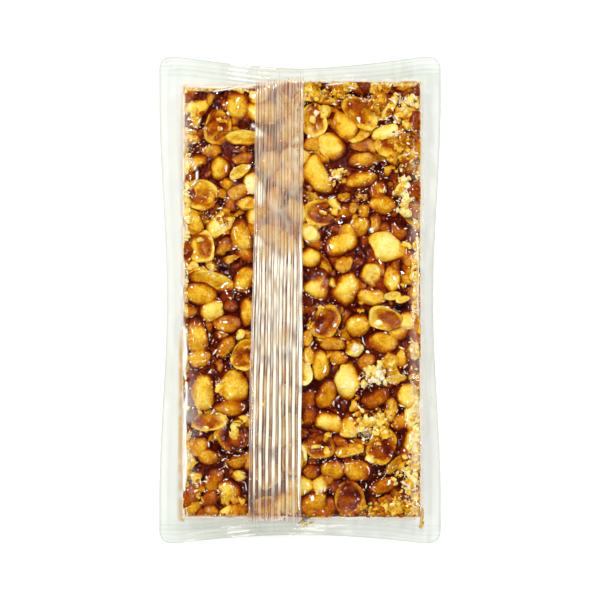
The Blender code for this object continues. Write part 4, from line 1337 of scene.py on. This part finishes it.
def weighed(material, base, *terms):
    """A base number plus each value times its weight."""
    total = base
    for value, weight in terms:
        total = add(material, "ShaderNodeMath", {"operation": "MULTIPLY_ADD"}, i0=value, i1=weight, i2=total)
    return total


def dusted_over(m, colour):
    """A colour under ground nut, which lies in grains and patches where the surface is dusty."""
    dusty = add(m, "ShaderNodeAttribute", {"attribute_name": "dusty"}).outputs["Fac"]
    place = add(m, "ShaderNodeNewGeometry")
    grains = add(m, "ShaderNodeTexNoise", Vector=place, Scale=scale_of(0.5), Detail=3.0, Roughness=0.7)
    thickness = weighed(m, -0.25, (dusty, 1.0), (grains, 0.5))
    cover = add(m, "ShaderNodeMapRange", {"interpolation_type": "SMOOTHSTEP"},
                Value=thickness, From_Min=0.2, From_Max=0.5)
    nut = set_tones(add(m, "ShaderNodeValToRGB", Fac=grains), GROUND_NUT_TONES)
    return add(m, "ShaderNodeMix", {"data_type": "RGBA"}, i0=cover, i6=colour, i7=nut).outputs[2]


def roasted_kernel():
    """Oil-roasted peanut, glazed by boiled sugar: cream where broken, golden on top, amber low down.

    The amber low down and on one side is partly caramel that coats its foot and partly painted shade. It is
    mottled as an oil roast leaves it, and its sugar coat gives it small sharp glints.
    """
    m = start_material("roasted_peanut_sugar_glazed")
    roast, glaze, fresh = (add(m, "ShaderNodeAttribute", {"attribute_name": value}).outputs["Fac"]
                           for value in ("roast", "glaze", "fresh"))
    place = add(m, "ShaderNodeNewGeometry")
    patch = add(m, "ShaderNodeTexNoise", Vector=place, Scale=scale_of(1.8))
    speckle = add(m, "ShaderNodeTexNoise", Vector=place, Scale=scale_of(0.34), Detail=3.0, Roughness=0.6)
    # The glaze value darkens the tone, for caramel and as painted shade.
    tone = weighed(m, -0.50, (roast, 0.60), (glaze, 1.0), (fresh, -0.08), (patch, 0.50), (speckle, 0.44))
    colour = dusted_over(m, set_tones(add(m, "ShaderNodeValToRGB", Fac=tone), KERNEL_TONES))
    dents = add(m, "ShaderNodeTexNoise", Vector=place, Scale=scale_of(1.1), Detail=1.0)
    tears = add(m, "ShaderNodeTexNoise", Vector=place, Scale=scale_of(0.7), Detail=4.0, Roughness=0.7)
    torn = add(m, "ShaderNodeMath", {"operation": "MULTIPLY"}, i0=tears, i1=fresh)
    grain = weighed(m, 0.0, (speckle, 0.12), (dents, 1.0), (torn, 1.0))
    bump = add(m, "ShaderNodeBump", Height=grain, Strength=1.0, Distance=0.6 * METRES_PER_MM)
    shader = add(m, "ShaderNodeBsdfPrincipled", Base_Color=colour, Roughness=0.5, IOR=1.36,
                 Specular_IOR_Level=0.04, Coat_Weight=0.68, Coat_Roughness=0.03, Normal=bump)
    return finish_material(m, shader)


def ground_nut_dust():
    """Dust of ground nut and sugar crystals: dry, matt and nearly white against the caramel, also used for
    specks that stand in for painted glints.
    """
    m = start_material("ground_nut_and_sugar_dust")
    clumps = add(m, "ShaderNodeTexNoise", Vector=add(m, "ShaderNodeNewGeometry"), Scale=scale_of(1.2))
    colour = set_tones(add(m, "ShaderNodeValToRGB", Fac=clumps), DUST_TONES)
    shader = add(m, "ShaderNodeBsdfPrincipled", Base_Color=colour, Roughness=0.6, IOR=1.5)
    return finish_material(m, shader)


def boiled_sugar():
    """Boiled sugar, poured and cut: near black where deep, red amber where thin over a kernel, glassy."""
    m = start_material("boiled_sugar_caramel")
    thin = add(m, "ShaderNodeAttribute", {"attribute_name": "thin"}).outputs["Fac"]
    place = add(m, "ShaderNodeNewGeometry")
    cloud = add(m, "ShaderNodeTexNoise", Vector=place, Scale=scale_of(3.0))
    bubbles = add(m, "ShaderNodeTexNoise", Vector=place, Scale=scale_of(0.6), Detail=4.0, Roughness=0.7)
    tone = weighed(m, -0.53, (thin, 0.5), (cloud, 0.35), (bubbles, 0.55))
    colour = dusted_over(m, set_tones(add(m, "ShaderNodeValToRGB", Fac=tone), CARAMEL_TONES))
    ripple = add(m, "ShaderNodeTexNoise", Vector=place, Scale=scale_of(1.1), Detail=1.0, Roughness=0.4)
    bump = add(m, "ShaderNodeBump", Height=ripple, Strength=0.8, Distance=0.9 * METRES_PER_MM)
    shader = add(m, "ShaderNodeBsdfPrincipled", Base_Color=colour, Roughness=0.03, IOR=1.45,
                 Specular_IOR_Level=0.29, Normal=bump)
    return finish_material(m, shader)


def clear_film(name, haze_colour, haze, white_colour, shine, gloss_rough, cockle_depth, free_tint, fold_tint):
    """Cast polypropylene film: clear, with a mirror gloss that grows towards grazing view, and a little haze.

    It has painted white highlights along creases, crimps, edges and rib crests, and patches of white haze. It
    has painted shade at folds and between ribs, and is amber where a glow of light from the slab is painted,
    and where the fin is stained.
    """
    m = start_material(name)
    free, folded, stained, whitened = (add(m, "ShaderNodeAttribute", {"attribute_name": value}).outputs["Fac"]
                                       for value in ("free", "folded", "stained", "whitened"))
    place = add(m, "ShaderNodeNewGeometry")
    cockles = add(m, "ShaderNodeTexNoise", Vector=place, Scale=scale_of(1.4), Detail=1.0)
    bump = add(m, "ShaderNodeBump", Height=cockles, Strength=0.35, Distance=cockle_depth * METRES_PER_MM)
    tint = linear(FILM_TINT)
    for share, colour in ((free, free_tint), (folded, fold_tint), (stained, STAIN_TINT)):
        mixed = add(m, "ShaderNodeMix", {"data_type": "RGBA"}, i0=share, i6=tint, i7=linear(colour))
        tint = mixed.outputs[2]
    clear = add(m, "ShaderNodeBsdfTransparent", Color=tint)
    milk = add(m, "ShaderNodeBsdfPrincipled", Base_Color=linear(haze_colour), Roughness=0.6, Normal=bump)
    hazy = add(m, "ShaderNodeMixShader", Fac=weighed(m, haze, (free, -0.9 * haze)), i1=clear, i2=milk)
    mixed = add(m, "ShaderNodeMix", {"data_type": "RGBA"},
                i0=stained, i6=linear(white_colour), i7=linear(STAIN_WHITE))
    white = add(m, "ShaderNodeBsdfPrincipled", Base_Color=mixed.outputs[2], Roughness=0.4, Normal=bump)
    # Painted highlights and white haze.
    stressed = add(m, "ShaderNodeMixShader", Fac=whitened, i1=hazy, i2=white)
    facing = add(m, "ShaderNodeLayerWeight", Blend=0.5, Normal=bump).outputs["Facing"]
    grazing = add(m, "ShaderNodeMath", {"operation": "POWER"}, i0=facing, i1=5.0)
    mirrored = weighed(m, shine, (grazing, 0.9), (free, -0.014))
    gloss = add(m, "ShaderNodeBsdfPrincipled", Base_Color=linear("FFFFFF"), Metallic=1.0,
                Roughness=gloss_rough, Normal=bump)
    skin = add(m, "ShaderNodeMixShader", Fac=mirrored, i1=stressed, i2=gloss)
    return finish_material(m, skin)


def white_table():
    """Matt white board that glows a little, so that it comes out white and clean under the soft light."""
    m = start_material("matt_white_table")
    shader = add(m, "ShaderNodeBsdfPrincipled", Base_Color=linear(TABLE_WHITE), Roughness=0.9,
                 Emission_Color=linear("FFFFFF"), Emission_Strength=TABLE_GLOW)
    return finish_material(m, shader)


# ---------------------------------------------------------------- pieces


def glaze_of(points, sunk, caramel_map):
    """How thick caramel lies on each point of a kernel, with painted shade: it covers its foot and thins
    towards its top, and shade is painted below the kernel's top and towards one side.
    """
    above = points[:, 2] - read_map(caramel_map, points[:, 0], points[:, 1])
    wetted = np.exp(-np.maximum(above, 0) / GLAZE_DEPTH)
    return np.clip(np.maximum(wetted, 0.9 * smooth((sunk - RUN_OFF_START) / RUN_OFF_DEPTH)), 0, 1)


def make_slab():
    """The slab of brittle: kernels, crumbs and the caramel that holds them."""
    kernel = roasted_kernel()
    heaps = make_heaps()
    lower = make_lower_heap()
    # The middles of the faces fill the map between the points.
    body_points = []
    for heap in heaps.values():
        for points, faces in zip(heap.points, heap.faces):
            local = faces - faces.min()
            body_points += [points, points[local].mean(axis=1)]
    kernel_map = dropped(np.concatenate(body_points))
    caramel_map = caramel_height(kernel_map)
    breaks = random_map(1.3)
    for kind, heap in heaps.items():
        points = heap.all_points()
        values = heap.all_values()
        # Caramel glaze and painted shade on each kernel.
        glaze = mix(glaze_of(points, values["sunk"], caramel_map), values["dish_glaze"], values["dish"])
        for used_up in ("dish", "dish_glaze", "sunk"):
            heap.values.pop(used_up)
        dusty = edge_dust(points[:, 0], points[:, 1], breaks)
        heap.make("kernels_" + kind, kernel, "peanut", glaze=glaze, dusty=dusty)
    lower.make("kernels_lower", kernel, "peanut")
    crumbs = make_crumbs(kernel_map, caramel_map)
    roasts = crumbs.all_values()["roast"]
    crumbs.make("crumbs", kernel, "peanut", faceted=True, glaze=np.clip(0.02 + 0.6 * roasts, 0, 1))
    caramel = boiled_sugar()
    make_caramel(caramel, kernel_map, caramel_map, breaks)
    make_loose(kernel, caramel)
    surface = np.maximum.reduce([kernel_map, caramel_map, dropped(crumbs.all_points())])
    specks = make_specks(surface)
    lay_flakes(specks, surface)
    specks.make("specks", ground_nut_dust(), "peanut", faceted=True)
    return np.maximum(surface, dropped(specks.all_points()))


def make_pack(surface):
    """The film round the slab, with its fin seal."""
    wrap_film = clear_film("cast_polypropylene_film", haze_colour="FFFFFF", haze=0.0005,
                           white_colour="FFFCF2", shine=0.012, gloss_rough=0.03, cockle_depth=0.15,
                           free_tint=FREE_TINT, fold_tint=FOLD_TINT)
    # The fin's warm haze colour is painted light, scattered up from the nuts below.
    fin_film = clear_film("heat_sealed_polypropylene_fin", haze_colour="FFC49A", haze=0.1,
                          white_colour="FFF8E6", shine=0.03, gloss_rough=0.12, cockle_depth=0.02,
                          free_tint=FILM_TINT, fold_tint=FIN_GAP_TINT)
    make_fin(fin_film, film_map(*make_film(wrap_film, surface)))


# ---------------------------------------------------------------- stage


def make_table():
    """A white table, a hair below the pack."""
    data = bpy.data.meshes.new("table")
    reach = TABLE_REACH
    corners = [(-reach, -reach, -TABLE_GAP), (reach, -reach, -TABLE_GAP), (reach, reach, -TABLE_GAP),
               (-reach, reach, -TABLE_GAP)]
    data.from_pydata(corners, [], [(0, 1, 2, 3)])
    data.materials.append(white_table())
    table = bpy.data.objects.new("table", data)
    bpy.context.scene.collection.objects.link(table)


def make_light():
    """Soft light from both sides, and a little from all round."""
    for name, heading, tilt, share, across, along in LAMPS:
        a, t = math.radians(heading), math.radians(tilt)
        place = Vector((math.cos(a) * math.sin(t), math.sin(a) * math.sin(t), math.cos(t))) * LAMP_DISTANCE
        lamp = bpy.data.lights.new(name, "AREA")
        lamp.shape = "RECTANGLE"
        lamp.size = across
        lamp.size_y = along
        lamp.energy = share * (math.pi * LAMP_DISTANCE) ** 2 / math.cos(t)
        light = bpy.data.objects.new(name, lamp)
        light.location = place
        light.rotation_euler = (0.0, t, a)
        bpy.context.scene.collection.objects.link(light)
    world = bpy.data.worlds.new("studio")
    world.use_nodes = True
    world.node_tree.nodes["Background"].inputs["Color"].default_value = (1, 1, 1, 1)
    world.node_tree.nodes["Background"].inputs["Strength"].default_value = SKY_STRENGTH
    bpy.context.scene.world = world


def make_camera():
    """A camera straight above, which shows colours as they are."""
    camera_data = bpy.data.cameras.new("camera")
    camera_data.lens = LENS
    camera_data.sensor_width = SENSOR
    camera = bpy.data.objects.new("camera", camera_data)
    camera.location = (0, 0, FOLD_HEIGHT * METRES_PER_MM + FRAME_WIDTH * LENS / SENSOR)
    bpy.context.scene.collection.objects.link(camera)
    bpy.context.scene.camera = camera
    bpy.context.scene.view_settings.view_transform = "Standard"


make_table()
make_light()
make_camera()
make_pack(make_slab())
